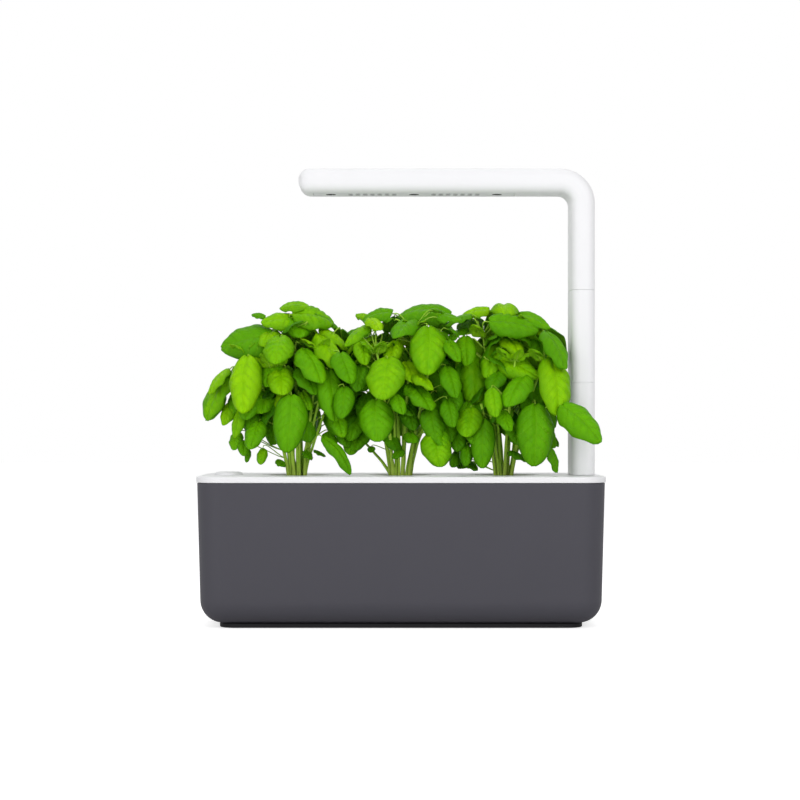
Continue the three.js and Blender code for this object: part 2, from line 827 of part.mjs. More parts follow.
function makeDryBox() {
  addPiece("socket_contacts", contacts(contactsTop, columnX), "brass");

  const insetX = boxLength / 2 - boxWall - boardMargin;
  const insetY = boxDepth / 2 - boxWall - boardMargin;
  const insetCorner = boxCorner - boxWall - boardMargin;
  let board = roundedPrism(insetX, insetY, insetCorner, boardBottom, boardTop, boxX, boxCentreY, 3);
  // Chips and a coil on the board's free end, in shares of the board
  const partShares = [
    [-0.3, 0.12, 0.3, 0.1, 0.2],
    [0.4, 0.62, 0.35, 0.14, 0.4],
    [-0.55, 0.32, 0.2, 0.06, 0.25],
  ];
  for (const [xShare, yShare, lengthShare, depthShare, heightShare] of partShares) {
    const x = boxX + xShare * insetX;
    const y = boxCentreY + yShare * insetY;
    const high = boardTop + heightShare * inletBodyHeight;
    const low = [x - lengthShare * insetX, y - depthShare * insetY, boardTop - joinSink];
    board = join(board, block(low, [x + lengthShare * insetX, y + depthShare * insetY, high]));
  }
  for (const post of posts) {
    const [holeFrom, holeTo] = [boardBottom - cutOverrun, boardTop + cutOverrun];
    board = cut(board, rod(postHole + pinPlay, holeFrom, holeTo, post.x, post.y, 8));
  }
  addPiece("timer_board", board, "board");

  let cover = roundedPrism(
    boxLength / 2 - boxWall - seatGap,
    boxDepth / 2 - boxWall - seatGap,
    boxCorner - boxWall - seatGap,
    boxBottom,
    socketCoverTop,
    boxX,
    boxCentreY,
  );
  posts.forEach((post, i) => {
    const riser = rod(postRadius, socketCoverTop - joinSink, boardBottom - seatGap, post.x, post.y);
    const sinkTop = boxBottom + smallScrewHeadHeight + seatGap;
    const hole = rod(smallScrewRadius + pinPlay, boxBottom - cutOverrun, boardBottom, post.x, post.y, 8);
    const sink = rod(smallScrewHead + pinPlay, boxBottom - cutOverrun, sinkTop, post.x, post.y);
    cover = cut(join(cover, riser), hole, sink);
    const shaft = smallScrewLength - smallScrewHeadHeight;
    const fastener = screw(
      post.x,
      post.y,
      smallScrewHead,
      boxBottom,
      smallScrewHeadHeight,
      smallScrewRadius - pinPlay / 2,
      shaft,
    );
    addPiece(`socket_screw_${i + 1}`, fastener, "steel");
  });
  addPiece("socket_cover", cover, "whitePlastic");

  const bodyRear = boxRear - boxWall - seatGap;
  const bodyFrom = boardTop + seatGap;
  const faceY = tankDepth / 2 - inletPlay;
  let inlet = block(
    [inletX - inletBodyWidth / 2, bodyRear - inletBodyDepth, bodyFrom],
    [inletX + inletBodyWidth / 2, bodyRear, bodyFrom + inletBodyHeight],
  );
  inlet = join(inlet, rodAlongY(inletRadius, bodyRear - joinSink, faceY, inletX, inletZ, 12));
  inlet = cut(inlet, rodAlongY(inletBore, faceY - inletBoreDepth, faceY + cutOverrun, inletX, inletZ, 12));
  inlet = join(
    inlet,
    rodAlongY(inletPin, faceY - inletBoreDepth - joinSink, faceY - joinSink, inletX, inletZ, 8),
  );
  addPiece("power_inlet", inlet, "darkPlastic");
}

// A spigot that hangs below a tube's shoulder, and the way through both.
function spigot(base) {
  const bottom = base - spigotLength;
  return roundedPrism(spigotHalfX, spigotHalfY, spigotCorner, bottom, base + joinSink, columnX);
}

function spigotBore(base) {
  const halfX = spigotHalfX - spigotWall;
  const halfY = spigotHalfY - spigotWall;
  const bottom = base - spigotLength - cutOverrun;
  const top = base + shoulder + cutOverrun;
  return roundedPrism(halfX, halfY, spigotCorner - spigotWall, bottom, top, columnX);
}

function makeExtension(name, base) {
  const top = base + extensionLength;
  const outside = softPrism(columnHalfX, columnHalfY, columnCorner, tubeEdge, base, top, columnX);
  const bore = roundedPrism(
    socketHalfX,
    socketHalfY,
    socketCorner,
    base + shoulder,
    top + cutOverrun,
    columnX,
  );
  addPiece(name, cut(join(cut(outside, bore), spigot(base)), spigotBore(base)), "lampWhite");

  const plugBottom = base - spigotLength;
  addPiece(`${name}_plug`, plug(plugBottom, columnX), "brass");
  const blockTop = top + seatGap - spigotLength - seatGap;
  addPiece(`${name}_contacts`, contacts(blockTop, columnX), "brass");
  const from = plugBottom + plugHeight + seatGap;
  const to = blockTop - contactHeight - seatGap;
  const [lowShare, highShare] = [0.35, 0.65];
  const path = [
    new THREE.Vector3(columnX, 0, from),
    new THREE.Vector3(columnX, leadSag, from + (to - from) * lowShare),
    new THREE.Vector3(columnX, -leadSag, from + (to - from) * highShare),
    new THREE.Vector3(columnX, 0, to),
  ];
  addPiece(`${name}_lead`, lead(path, 8), "darkPlastic");
}

// The lamp arm's centre line: each station has a place, a heading (0 is up, a quarter turn is
// towards the free end) and an inset of its section.
function armStations(legFrom, endX, endRadius, edge) {
  const stations = [
    { x: columnX, z: legFrom, turn: 0, inset: edge },
    { x: columnX, z: legFrom + edge, turn: 0, inset: 0 },
  ];
  const bendSteps = 6;
  for (let i = 0; i <= bendSteps; i += 1) {
    const turn = ((Math.PI / 2) * i) / bendSteps;
    const x = columnX - bendMiddle + bendMiddle * Math.cos(turn);
    const z = headZ - bendMiddle + bendMiddle * Math.sin(turn);
    stations.push({ x, z, turn, inset: 0 });
  }
  const endSteps = 3;
  for (let i = 0; i <= endSteps; i += 1) {
    const angle = ((Math.PI / 2) * i) / endSteps;
    const x = endX + endRadius * (1 - Math.sin(angle));
    stations.push({ x, z: headZ, turn: Math.PI / 2, inset: endRadius * (1 - Math.cos(angle)) });
  }
  return stations;
}

// Sections of the lamp arm, one at each station.
function armRings(halfX, halfY, corner, stations, steps) {
  return stations.map(({ x, z, turn, inset }) => {
    const radius = Math.max(corner - inset, cornerLeastShare * corner);
    const outline = roundedOutline(halfX - inset, halfY - inset, radius, steps);
    return outline.map((p) => {
      return new THREE.Vector3(x + p.x * Math.cos(turn), p.y, z + p.x * Math.sin(turn));
    });
  });
}

const coverFrom = headEndX + coverStart;
const coverMiddle = coverFrom + coverLength / 2;
const coverTop = headBottom + lampCoverThickness;
const lightFrom = coverTop + seatGap;
const ledBoardBottom = lightFrom + lightHeight;
const ledBoardTop = ledBoardBottom + ledBoardThickness;
const sinkBottom = ledBoardTop + seatGap;
const roof = headTop - shellWall;
const wellTop = (sinkBottom + sinkBase + roof) / 2;
const wellOuter = screwWell + screwWellWall;
const wellPitch = coverLength / 2 - wellEnd;
const wellXs = [-1, 0, 1].map((i) => coverMiddle + i * wellPitch);

function makeLampArm() {
  const outside = loft(
    armRings(
      columnHalfX,
      columnHalfY,
      columnCorner,
      armStations(lampBase, headEndX, headEndRadius, tubeEdge),
      3,
    ),
  );
  const inside = loft(
    armRings(
      socketHalfX,
      socketHalfY,
      socketCorner,
      armStations(lampBase + shoulder, headEndX + shellWall, headEndRadius - shellWall, tubeEdge),
      2,
    ),
  );
  let arm = cut(join(cut(outside, inside), spigot(lampBase)), spigotBore(lampBase));
  for (const x of wellXs) {
    arm = join(arm, rod(roofBossRadius, wellTop + seatGap, roof + joinSink, x, 0));
  }
  for (const x of wellXs) {
    const pilotTop = wellTop + seatGap + coverScrewBite;
    arm = cut(arm, rod(coverScrewRadius + pinPlay, wellTop - cutOverrun, pilotTop, x, 0, 8));
  }
  const window = roundedPrism(
    coverLength / 2 + seatGap,
    coverWidth / 2 + seatGap,
    coverCorner + seatGap,
    headBottom - cutOverrun,
    headBottom + shellWall + cutOverrun,
    coverMiddle,
  );
  addPiece("lamp_arm", cut(arm, window), "lampWhite");

  const plugBottom = lampBase - spigotLength;
  addPiece("lamp_plug", plug(plugBottom, columnX), "brass");
  const bend = (turn) => {
    const x = columnX - bendMiddle + bendMiddle * Math.cos(turn);
    return new THREE.Vector3(x, 0, headZ - bendMiddle + bendMiddle * Math.sin(turn));
  };
  const landing = sinkBottom + leadRadius;
  const boardEnd = coverFrom + coverLength - ledBoardMargin;
  const landingX = wellXs[2] + wellOuter + liftPlay + leadRadius;
  const path = [
    new THREE.Vector3(columnX, 0, plugBottom + plugHeight + seatGap),
    new THREE.Vector3(columnX, 0, lampBase + shoulder),
    bend(0),
    bend(Math.PI / 4),
    bend(Math.PI / 2),
    new THREE.Vector3(boardEnd + columnHalfX, 0, landing + seatGap),
    new THREE.Vector3(boardEnd, 0, landing),
    new THREE.Vector3(landingX, 0, landing),
  ];
  addPiece("lamp_lead", lead(path, 20), "darkPlastic");
}

// The two banks of lights lie between the three screw wells.
function lightPlaces() {
  const places = [];
  for (const bank of [-1, 1]) {
    for (let i = 0; i < lightsPerRow; i += 1) {
      for (let j = 0; j < lightRows; j += 1) {
        const x = coverMiddle + (bank * wellPitch) / 2 + (i - (lightsPerRow - 1) / 2) * lightPitch;
        places.push([x, (j - (lightRows - 1) / 2) * lightRowPitch]);
      }
    }
  }
  return places;
}

function makeLampCover() {
  let cover = roundedPrism(
    coverLength / 2,
    coverWidth / 2,
    coverCorner,
    headBottom,
    coverTop,
    coverMiddle,
  );
  wellXs.forEach((x, i) => {
    cover = join(cover, rod(wellOuter, coverTop - joinSink, wellTop, x, 0, 12));
    const wellCeiling = wellTop - screwWellFloor;
    cover = cut(
      cover,
      rod(screwWell, headBottom - cutOverrun, wellCeiling, x, 0, 12),
      rod(coverScrewRadius + pinPlay, wellCeiling - cutOverrun, wellTop + cutOverrun, x, 0, 8),
    );
    const headFrom = wellCeiling - seatGap - coverScrewHeadHeight;
    const length = wellTop + coverScrewBite - headFrom - coverScrewHeadHeight;
    const fastener = revolve(
      [
        [0, headFrom],
        [coverScrewHead, headFrom],
        [coverScrewHead, headFrom + coverScrewHeadHeight],
        [coverScrewRadius, headFrom + coverScrewHeadHeight],
        [coverScrewRadius, headFrom + coverScrewHeadHeight + length],
        [0, headFrom + coverScrewHeadHeight + length],
      ],
      x,
      0,
      8,
    );
    addPiece(`cover_screw_${i + 1}`, fastener, "steel");
  });
  const half = lightHole / 2;
  const [holeFrom, holeTo] = [headBottom - cutOverrun, coverTop + cutOverrun];
  const holes = lightPlaces().map(([x, y]) => {
    return block([x - half, y - half, holeFrom], [x + half, y + half, holeTo]);
  });
  addPiece("lamp_cover", cut(cover, ...holes), "coverGrey");
}

function makeLedBoard() {
  const halfX = coverLength / 2 - ledBoardMargin;
  let board = block(
    [coverMiddle - halfX, -ledBoardWidth / 2, ledBoardBottom],
    [coverMiddle + halfX, ledBoardWidth / 2, ledBoardTop],
  );
  for (const [x, y] of lightPlaces()) {
    const half = lightSize / 2;
    const chip = block([x - half, y - half, lightFrom], [x + half, y + half, ledBoardBottom + joinSink]);
    board = join(board, chip);
  }
  const hole = (x, top) => rod(wellOuter + liftPlay, ledBoardBottom - cutOverrun, top, x, 0, 12);
  board = cut(board, ...wellXs.map((x) => hole(x, ledBoardTop + cutOverrun)));
  addPiece("led_board", board, "board");

  const sinkTop = sinkBottom + sinkHeight;
  const sinkHalf = halfX - sinkMargin;
  let sink = block(
    [coverMiddle - sinkHalf, -sinkWidth / 2, sinkBottom],
    [coverMiddle + sinkHalf, sinkWidth / 2, sinkBottom + sinkBase],
  );
  for (let i = 0; i < sinkFins; i += 1) {
    const y = ((i / (sinkFins - 1)) * 2 - 1) * (sinkWidth / 2 - sinkFin / 2);
    const low = [coverMiddle - sinkHalf, y - sinkFin / 2, sinkBottom + sinkBase - joinSink];
    sink = join(sink, block(low, [coverMiddle + sinkHalf, y + sinkFin / 2, sinkTop]));
  }
  sink = cut(sink, ...wellXs.map((x) => hole(x, sinkTop + cutOverrun)));
  addPiece("heat_sink", sink, "aluminium");
}

// Plants. A leaf's row gives its middle in shares of the canopy (across, in depth and up from
// the lid), its length and width in shares of the largest leaf, and in degrees the heading of
// its tip (0 is right, -90 is front), its slope, its roll to the left and its curl.
const leafShares = {
  left: [
    [-0.58, -0.5, 0.53, 1, 1, -110, -72, 0, 35],
    [-0.55, -0.15, 0.76, 0.92, 1.12, 170, -18, 42, 40],
    [-0.87, -0.05, 0.465, 0.9, 0.8, -170, -68, 25, 30],
    [-0.04, -0.62, 0.3, 0.94, 0.92, -85, -80, 0, 20],
    [-0.2, -0.55, 0.71, 0.62, 0.86, -100, -52, 0, 45],
    [-0.05, 0, 0.94, 0.5, 0.6, 170, -5, 25, 50],
    [0.18, -0.1, 0.88, 0.74, 0.92, 15, -14, -42, 50],
    [0.2, -0.5, 0.64, 0.76, 0.9, -50, -50, 0, 30],
    [0.38, -0.45, 0.46, 0.88, 0.8, -65, -76, 0, 25],
    [-0.64, -0.25, 0.31, 0.56, 0.48, -130, -68, 0, 40],
    [-0.445, -0.35, 0.24, 0.54, 0.6, -110, -60, 0, 35],
    [0.46, -0.68, 0.125, 0.8, 0.5, -25, -52, -20, 55],
    [-0.18, -0.15, 0.85, 0.62, 0.68, 200, -10, 45, 45],
    [-0.5, 0.4, 0.62, 0.85, 0.85, 140, -40, 0, 40],
    [-0.12, 0.55, 0.74, 0.8, 0.85, 95, -40, 0, 40],
    [0.18, 0.45, 0.62, 0.75, 0.8, 60, -50, 0, 35],
    [-0.3, 0.6, 0.42, 0.85, 0.85, 100, -70, 0, 25],
    [-0.62, 0.3, 0.36, 0.7, 0.7, 160, -65, 0, 30],
    [-0.86, -0.1, 0.55, 0.55, 0.6, -150, -50, 0, 30],
    [-0.14, -0.45, 0.55, 0.6, 0.75, -75, -50, 0, 35],
    [0.36, -0.3, 0.71, 0.75, 0.85, -40, -50, -10, 30],
    [-0.36, -0.2, 0.45, 0.66, 0.74, -95, -45, 0, 30],
    [0.14, -0.4, 0.55, 0.6, 0.7, -45, -50, 0, 30],
    [-0.35, 0.1, 0.68, 0.8, 0.85, 150, -30, 0, 35],
    [0.12, 0.15, 0.7, 0.75, 0.8, 60, -35, 0, 35],
    [-0.1, 0.15, 0.5, 0.8, 0.85, -90, -60, 0, 25],
    [0.36, 0.09, 0.5, 0.62, 0.62, -90, -65, 0, 25],
  ],
  middle: [
    [0.24, -0.1, 0.91, 0.92, 1, 175, -4, 30, 55],
    [-0.26, 0, 0.89, 0.54, 0.72, 160, -12, 35, 40],
    [-0.52, 0.52, 0.8, 0.66, 0.78, 160, -22, 40, 35],
    [0.02, -0.35, 0.82, 0.74, 0.86, -120, -28, 0, 45],
    [-0.17, -0.75, 0.56, 0.76, 0.97, -100, -66, 0, 35],
    [-0.27, -0.62, 0.32, 0.72, 0.97, -95, -72, 0, 25],
    [0.31, -0.6, 0.7, 0.86, 0.95, -80, -70, 0, 35],
    [0.22, -0.5, 0.46, 0.6, 0.8, -50, -48, 0, 30],
    [0.33, -0.42, 0.29, 0.58, 0.62, -80, -75, 0, 20],
    [0.37, -0.5, 0.155, 0.6, 0.8, -80, -70, 0, 25],
    [0.5, -0.56, 0.86, 0.42, 0.5, -20, -12, -20, 40],
    [-0.5, 0.36, 0.53, 0.52, 0.6, -110, -60, 0, 20],
    [-0.56, 0.5, 0.24, 0.44, 0.44, 150, -35, 30, 25],
    [-0.2, 0.5, 0.74, 0.8, 0.85, 110, -40, 0, 40],
    [0.2, 0.55, 0.64, 0.82, 0.85, 70, -50, 0, 40],
    [0.05, 0.62, 0.42, 0.85, 0.85, 90, -70, 0, 25],
    [-0.35, 0.6, 0.4, 0.7, 0.75, 130, -65, 0, 25],
    [-0.26, -0.25, 0.83, 0.44, 0.52, -60, -30, 0, 30],
    [-0.37, -0.34, 0.69, 0.48, 0.55, -60, -68, 0, 20],
    [-0.42, -0.1, 0.58, 0.6, 0.62, -100, -60, 0, 25],
    [-0.42, 0.2, 0.4, 0.55, 0.6, -80, -65, 0, 25],
    [0.42, 0.15, 0.55, 0.62, 0.62, -80, -60, 0, 25],
    [0.24, -0.55, 0.55, 0.5, 0.6, -40, -35, 0, 40],
    [0, 0.1, 0.66, 0.8, 0.85, 100, -40, 0, 30],
    [0.05, 0, 0.45, 0.8, 0.85, -90, -60, 0, 25],
  ],
  right: [
    [0, -0.1, 0.93, 0.56, 0.8, -90, -25, 0, 60],
    [0.1, -0.35, 0.83, 0.84, 0.88, 5, -12, -46, 35],
    [-0.3, 0.08, 0.905, 0.48, 0.55, 180, -15, 30, 35],
    [0.32, -0.15, 0.86, 0.62, 0.6, -20, -24, -30, 40],
    [0.55, -0.6, 0.71, 0.8, 0.76, -50, -52, 0, 35],
    [-0.33, -0.04, 0.54, 0.96, 0.78, -100, -76, 0, 25],
    [0.08, -0.72, 0.5, 0.74, 0.86, -120, -45, 0, 40],
    [0.54, -0.72, 0.515, 1, 0.9, -65, -70, 0, 30],
    [0.76, -1.03, 0.32, 0.92, 0.95, -30, -42, -35, 35],
    [0.31, -0.76, 0.235, 1, 0.96, -85, -82, 0, 20],
    [-0.24, -0.42, 0.185, 0.8, 0.64, -95, -80, 0, 15],
    [-0.37, -0.4, 0.31, 0.55, 0.66, -95, -60, 0, 25],
    [0.5, -0.62, 0.1, 0.46, 0.4, -40, -72, 0, 40],
    [-0.15, 0.5, 0.76, 0.78, 0.8, 110, -40, 0, 40],
    [-0.36, 0.55, 0.6, 0.75, 0.75, 130, -50, 0, 35],
    [0, 0.55, 0.5, 0.75, 0.75, 90, -65, 0, 30],
    [0.2, 0.15, 0.72, 0.6, 0.62, 40, -45, 0, 35],
    [0.13, -0.4, 0.63, 0.8, 0.75, -30, -24, -45, 30],
    [-0.11, -0.8, 0.42, 0.52, 0.54, -70, -64, 0, 25],
    [0.38, -0.2, 0.72, 0.45, 0.5, -60, -60, 0, 30],
    [-0.42, -0.2, 0.7, 0.55, 0.55, -100, -65, 0, 30],
    [-0.14, -0.2, 0.67, 0.7, 0.65, -110, -60, 0, 30],
    [-0.39, 0.19, 0.5, 0.6, 0.6, -90, -60, 0, 25],
    [0.33, 0, 0.56, 0.55, 0.55, -80, -60, 0, 25],
    [0, 0.1, 0.55, 0.8, 0.85, -90, -60, 0, 25],
  ],
};

// A stem's row gives its foot in shares of the pod's opening, its top in shares of the canopy.
const stemShares = {
  left: [
    [-0.8, -0.2, -0.52, -0.1, 0.7],
    [-0.3, -0.5, -0.25, -0.25, 0.62],
    [0, 0.2, -0.05, 0.05, 0.86],
    [0.6, -0.4, 0.24, -0.25, 0.72],
    [0.3, 0.6, 0, 0.38, 0.66],
  ],
  middle: [
    [-0.7, -0.3, -0.25, -0.35, 0.7],
    [0.1, -0.2, 0.12, -0.15, 0.84],
    [0.7, -0.3, 0.32, -0.35, 0.66],
    [-0.9, 0.3, -0.42, 0.36, 0.72],
    [0.2, 0.7, 0.05, 0.4, 0.7],
    [-0.8, 0.6, -0.46, 0.4, 0.22],
  ],
  right: [
    [-0.6, -0.1, -0.22, 0, 0.8],
    [0, -0.6, 0.1, -0.45, 0.66],
    [0.6, -0.4, 0.4, -0.5, 0.66],
    [-0.1, 0.6, -0.1, 0.38, 0.7],
    [0.3, 0.1, 0.14, -0.1, 0.84],
  ],
};

const degree = Math.PI / 180;

// The place and directions of a leaf: tip is along it, face is its upper side.
function leafFrame(row, podX) {
  const [xShare, yShare, zShare, lengthShare, widthShare, heading, slope, roll, curl] = row;
  const middle = new THREE.Vector3(
    podX + xShare * canopyHalfWidth,
    yShare * canopyHalfDepth,
    lidTop + zShare * canopyHeight,
  );
  const [a, p, r] = [heading * degree, slope * degree, roll * degree];
  const tip = new THREE.Vector3(Math.cos(p) * Math.cos(a), Math.cos(p) * Math.sin(a), Math.sin(p));
  const up = new THREE.Vector3(-Math.sin(p) * Math.cos(a), -Math.sin(p) * Math.sin(a), Math.cos(p));
  const left = new THREE.Vector3().crossVectors(up, tip);
  const face = up.clone().multiplyScalar(Math.cos(r)).addScaledVector(left, Math.sin(r));
  const side = left.clone().multiplyScalar(Math.cos(r)).addScaledVector(up, -Math.sin(r));
  return {
    middle,
    tip,
    face,
    side,
    length: lengthShare * leafLength,
    width: widthShare * leafWidth,
    curl: curl * degree,
  };
}

// A point of a leaf's midrib, from 0 at the stalk to 1 at the tip.
function midrib(leaf, share) {
  const turn = leaf.curl * (share - 1 / 2);
  const radius = leaf.length / leaf.curl;
  const along = radius * Math.sin(turn);
  const drop = radius * (1 - Math.cos(turn));
  return leaf.middle.clone().addScaledVector(leaf.tip, along).addScaledVector(leaf.face, -drop);
}

// How wide a leaf is at a share of its length, as a share of its full width.
function bladeShare(share) {
  const outlinePower = 0.78;
  const fullness = 0.75;
  return Math.sin(Math.PI * share ** outlinePower) ** fullness;
}

// A leaf is a thin blade whose edges droop, thickest along its midrib. Its stalk springs from
// a point on a stem.
function leafSolid(leaf, root) {
  const ringShares = [0.03, 0.3, 0.68, 0.99];
  const droopShare = 0.16;
  const rings = ringShares.map((share) => {
    const middle = midrib(leaf, share);
    const half = (leaf.width / 2) * bladeShare(share);
    const turn = leaf.curl * (share - 1 / 2);
    const normal = leaf.face.clone().multiplyScalar(Math.cos(turn));
    normal.addScaledVector(leaf.tip, Math.sin(turn));
    const droop = half * droopShare * 2;
    const edge = (sign) => {
      return middle.clone().addScaledVector(leaf.side, sign * half).addScaledVector(normal, -droop);
    };
    const top = middle.clone().addScaledVector(normal, leafThickness / 2);
    const bottom = middle.clone().addScaledVector(normal, -leafThickness / 2);
    return [top, edge(1), bottom, edge(-1)];
  });
  const base = midrib(leaf, 0);
  const along = base.clone().sub(root).normalize();
  const swing = new THREE.Quaternion().setFromUnitVectors(leaf.tip, along);
  const elbow = base.clone().addScaledVector(along, -elbowLength);
  const stalkRings = [root, elbow].map((point) => {
    return [leaf.face, leaf.side, leaf.face.clone().negate(), leaf.side.clone().negate()].map((way) => {
      return point.clone().addScaledVector(way.clone().applyQuaternion(swing), petioleRadius);
    });
  });
  return loft([...stalkRings, ...rings]);
}

// A tapering stalk through points, with a few sides.
function stalk(points, startRadius, endRadius, sides) {
  const rings = points.map((point, k) => {
    const before = points[Math.max(k - 1, 0)];
    const after = points[Math.min(k + 1, points.length - 1)];
    const along = after.clone().sub(before).normalize();
    const across = Math.abs(along.x) < Math.abs(along.y);
    const helper = across ? new THREE.Vector3(1, 0, 0) : new THREE.Vector3(0, 1, 0);
    const u = new THREE.Vector3().crossVectors(helper, along).normalize();
    const v = new THREE.Vector3().crossVectors(along, u);
    const radius = startRadius + ((endRadius - startRadius) * k) / (points.length - 1);
    return Array.from({ length: sides }, (_, i) => {
      const angle = (2 * Math.PI * i) / sides;
      return point
        .clone()
        .addScaledVector(u, radius * Math.cos(angle))
        .addScaledVector(v, radius * Math.sin(angle));
    });
  });
  return loft(rings);
}

// A stem rises straight from the soil and then leans out to its top.
function stemPoints(row, podX) {
  const [footX, footY, topX, topY, topZ] = row;
  const footZ = soilTop + seatGap + crownHeight / 2;
  const foot = new THREE.Vector3(podX + footX * stemSpread, footY * stemSpread, footZ);
  const top = new THREE.Vector3(
    podX + topX * canopyHalfWidth,
    topY * canopyHalfDepth,
    lidTop + topZ * canopyHeight,
  );
  const riseShare = 0.35;
  const knee = new THREE.Vector3(
    foot.x + (top.x - foot.x) * riseShare ** 2,
    foot.y + (top.y - foot.y) * riseShare ** 2,
    foot.z + (top.z - foot.z) * riseShare,
  );
  return new THREE.QuadraticBezierCurve3(foot, knee, top).getPoints(4);
}

// The point on the stems that a leaf's stalk springs from: near its base and a little below.
function stalkRoot(base, stems) {
  const dropShare = 0.35;
  let best = null;
  for (const points of stems) {
    for (let k = 0; k + 1 < points.length; k += 1) {
      for (let i = 0; i < 4; i += 1) {
        const spot = points[k].clone().lerp(points[k + 1], i / 4);
        const reach = Math.hypot(spot.x - base.x, spot.y - base.y);
        const miss = Math.abs(base.z - spot.z - reach * dropShare) + reach;
        if (!best || miss < best.miss) best = { miss, spot };
      }
    }
  }
  return best.spot;
}

function makePlant(pod) {
  const stems = stemShares[pod.side].map((row) => stemPoints(row, pod.x));
  const crown = rod(stemSpread, soilTop + seatGap, soilTop + seatGap + crownHeight, pod.x, 0, 8);
  const stalks = stems.map((points) => stalk(points, stemRadius, stemRadius / 2, 4));
  const blades = leafShares[pod.side].map((row) => {
    const leaf = leafFrame(row, pod.x);
    return leafSolid(leaf, stalkRoot(midrib(leaf, 0), stems));
  });
  addPiece(`basil_${pod.side}`, fillPockets(join(crown, ...stalks, ...blades)), "leaf");
}

makeTank();
makeFoot();
makeLid();
for (const pod of pods) {
  makeCup(pod);
  makeWick(pod);
  makeBasket(pod);
  makeSoil(pod);
  makePlant(pod);
}
makeFloat();
makeDryBox();
makeExtension("extension_lower", lowerBase);
makeExtension("extension_upper", upperBase);
makeLampArm();
makeLampCover();
makeLedBoard();

export default garden;
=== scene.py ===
"""Looks of a countertop hydroponic garden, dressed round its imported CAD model."""

import math
import random

import bpy
import numpy as np
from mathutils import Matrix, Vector, noise


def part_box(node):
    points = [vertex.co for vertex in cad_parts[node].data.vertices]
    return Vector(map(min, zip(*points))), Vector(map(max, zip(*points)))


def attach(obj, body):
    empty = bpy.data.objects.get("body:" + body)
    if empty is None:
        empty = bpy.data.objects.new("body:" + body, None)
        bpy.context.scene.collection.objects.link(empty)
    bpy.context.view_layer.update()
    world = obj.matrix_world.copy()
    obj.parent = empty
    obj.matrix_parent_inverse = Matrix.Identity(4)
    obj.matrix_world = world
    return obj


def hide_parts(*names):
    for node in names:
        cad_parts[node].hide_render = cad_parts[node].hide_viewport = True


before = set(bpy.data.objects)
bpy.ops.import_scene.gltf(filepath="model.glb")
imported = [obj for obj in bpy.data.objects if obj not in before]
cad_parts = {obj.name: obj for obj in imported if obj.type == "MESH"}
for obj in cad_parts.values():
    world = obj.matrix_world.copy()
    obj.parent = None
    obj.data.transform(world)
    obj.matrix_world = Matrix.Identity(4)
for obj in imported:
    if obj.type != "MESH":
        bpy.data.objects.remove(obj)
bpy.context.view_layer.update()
scene = bpy.context.scene

# Lengths are in millimetres, and each piece is scaled to metres when it is dressed.
MM = 0.001
QUARTER = math.pi / 2


class Box:
    """A CAD node's corners, middle and half sizes in millimetres."""

    def __init__(self, node):
        self.low, self.high = (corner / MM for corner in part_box(node))
        self.bottom, self.top = self.low.z, self.high.z
        pairs = list(zip(self.low, self.high))
        self.x, self.y, self.z = ((low + high) / 2 for low, high in pairs)
        self.half_x, self.half_y = ((high - low) / 2 for low, high in pairs[:2])


# Colours and materials


def srgb(*levels):
    """Linear colour from screen values of 0 to 255."""
    shares = [level / 255 for level in levels]
    linear = [s / 12.92 if s <= 0.04045 else ((s + 0.055) / 1.055) ** 2.4 for s in shares]
    return (*linear, 1.0)


def shaded(colour, factor):
    """The colour, lighter or darker by a factor."""
    return tuple(min(1.0, value * factor) for value in colour[:3]) + (1.0,)


class Nodes:
    """Short calls for the nodes that feed a material's or the world's shader."""

    def __init__(self, owner, shader):
        owner.use_nodes = True
        self.tree = owner.node_tree
        self.shader = self.tree.nodes[shader]

    def put(self, target, value):
        """Links a node's output to a socket, or sets the socket's own value."""
        if isinstance(value, bpy.types.NodeSocket):
            self.tree.links.new(value, target)
        else:
            target.default_value = value

    def feed(self, socket, value):
        self.put(self.shader.inputs[socket], value)

    def node(self, kind, output, inputs=(), **settings):
        """An output of a new node; inputs pairs its sockets with values."""
        node = self.tree.nodes.new("ShaderNode" + kind)
        for name, value in settings.items():
            setattr(node, name, value)
        for socket, value in dict(inputs).items():
            self.put(node.inputs[socket], value)
        return node.outputs[output]

    def place(self):
        """Place on the object, in metres."""
        return self.node("TexCoord", "Object")

    def noise(self, scale, detail=2.0, place=None):
        inputs = {"Scale": scale, "Detail": detail, "Vector": place or self.place()}
        return self.node("TexNoise", "Fac", inputs)

    def cells(self, scale, feature="F1"):
        inputs = {"Scale": scale, "Vector": self.place()}
        return self.node("TexVoronoi", "Distance", inputs, feature=feature)

    def math(self, operation, *values):
        return self.node("Math", 0, enumerate(values), operation=operation)

    def times(self, first, second):
        return self.math("MULTIPLY", first, second)

    def plus(self, first, second):
        return self.math("ADD", first, second)

    def span(self, value, low, high, start, end):
        """Maps a value from one span to another, with no overshoot."""
        return self.node("MapRange", 0, enumerate((value, low, high, start, end)))

    def mix(self, share, first, second):
        return self.node("Mix", 2, {"Factor": share, 6: first, 7: second}, data_type="RGBA")

    def ramp(self, value, stops):
        colour = self.node("ValToRGB", "Color", {"Fac": value})
        elements = colour.node.color_ramp.elements
        while len(elements) < len(stops):
            elements.new(0.5)
        for element, (position, tint) in zip(elements, stops):
            element.position, element.color = position, tint
        return colour

    def attribute(self, name):
        """The three numbers that a mesh stores under a name."""
        numbers = self.node("Attribute", "Vector", attribute_name=name)
        return self.node("SeparateXYZ", slice(0, 3), {0: numbers})

    def ray(self, kind):
        """1 where light is seen in a way, such as by the camera, and else 0."""
        return self.node("LightPath", f"Is {kind} Ray")


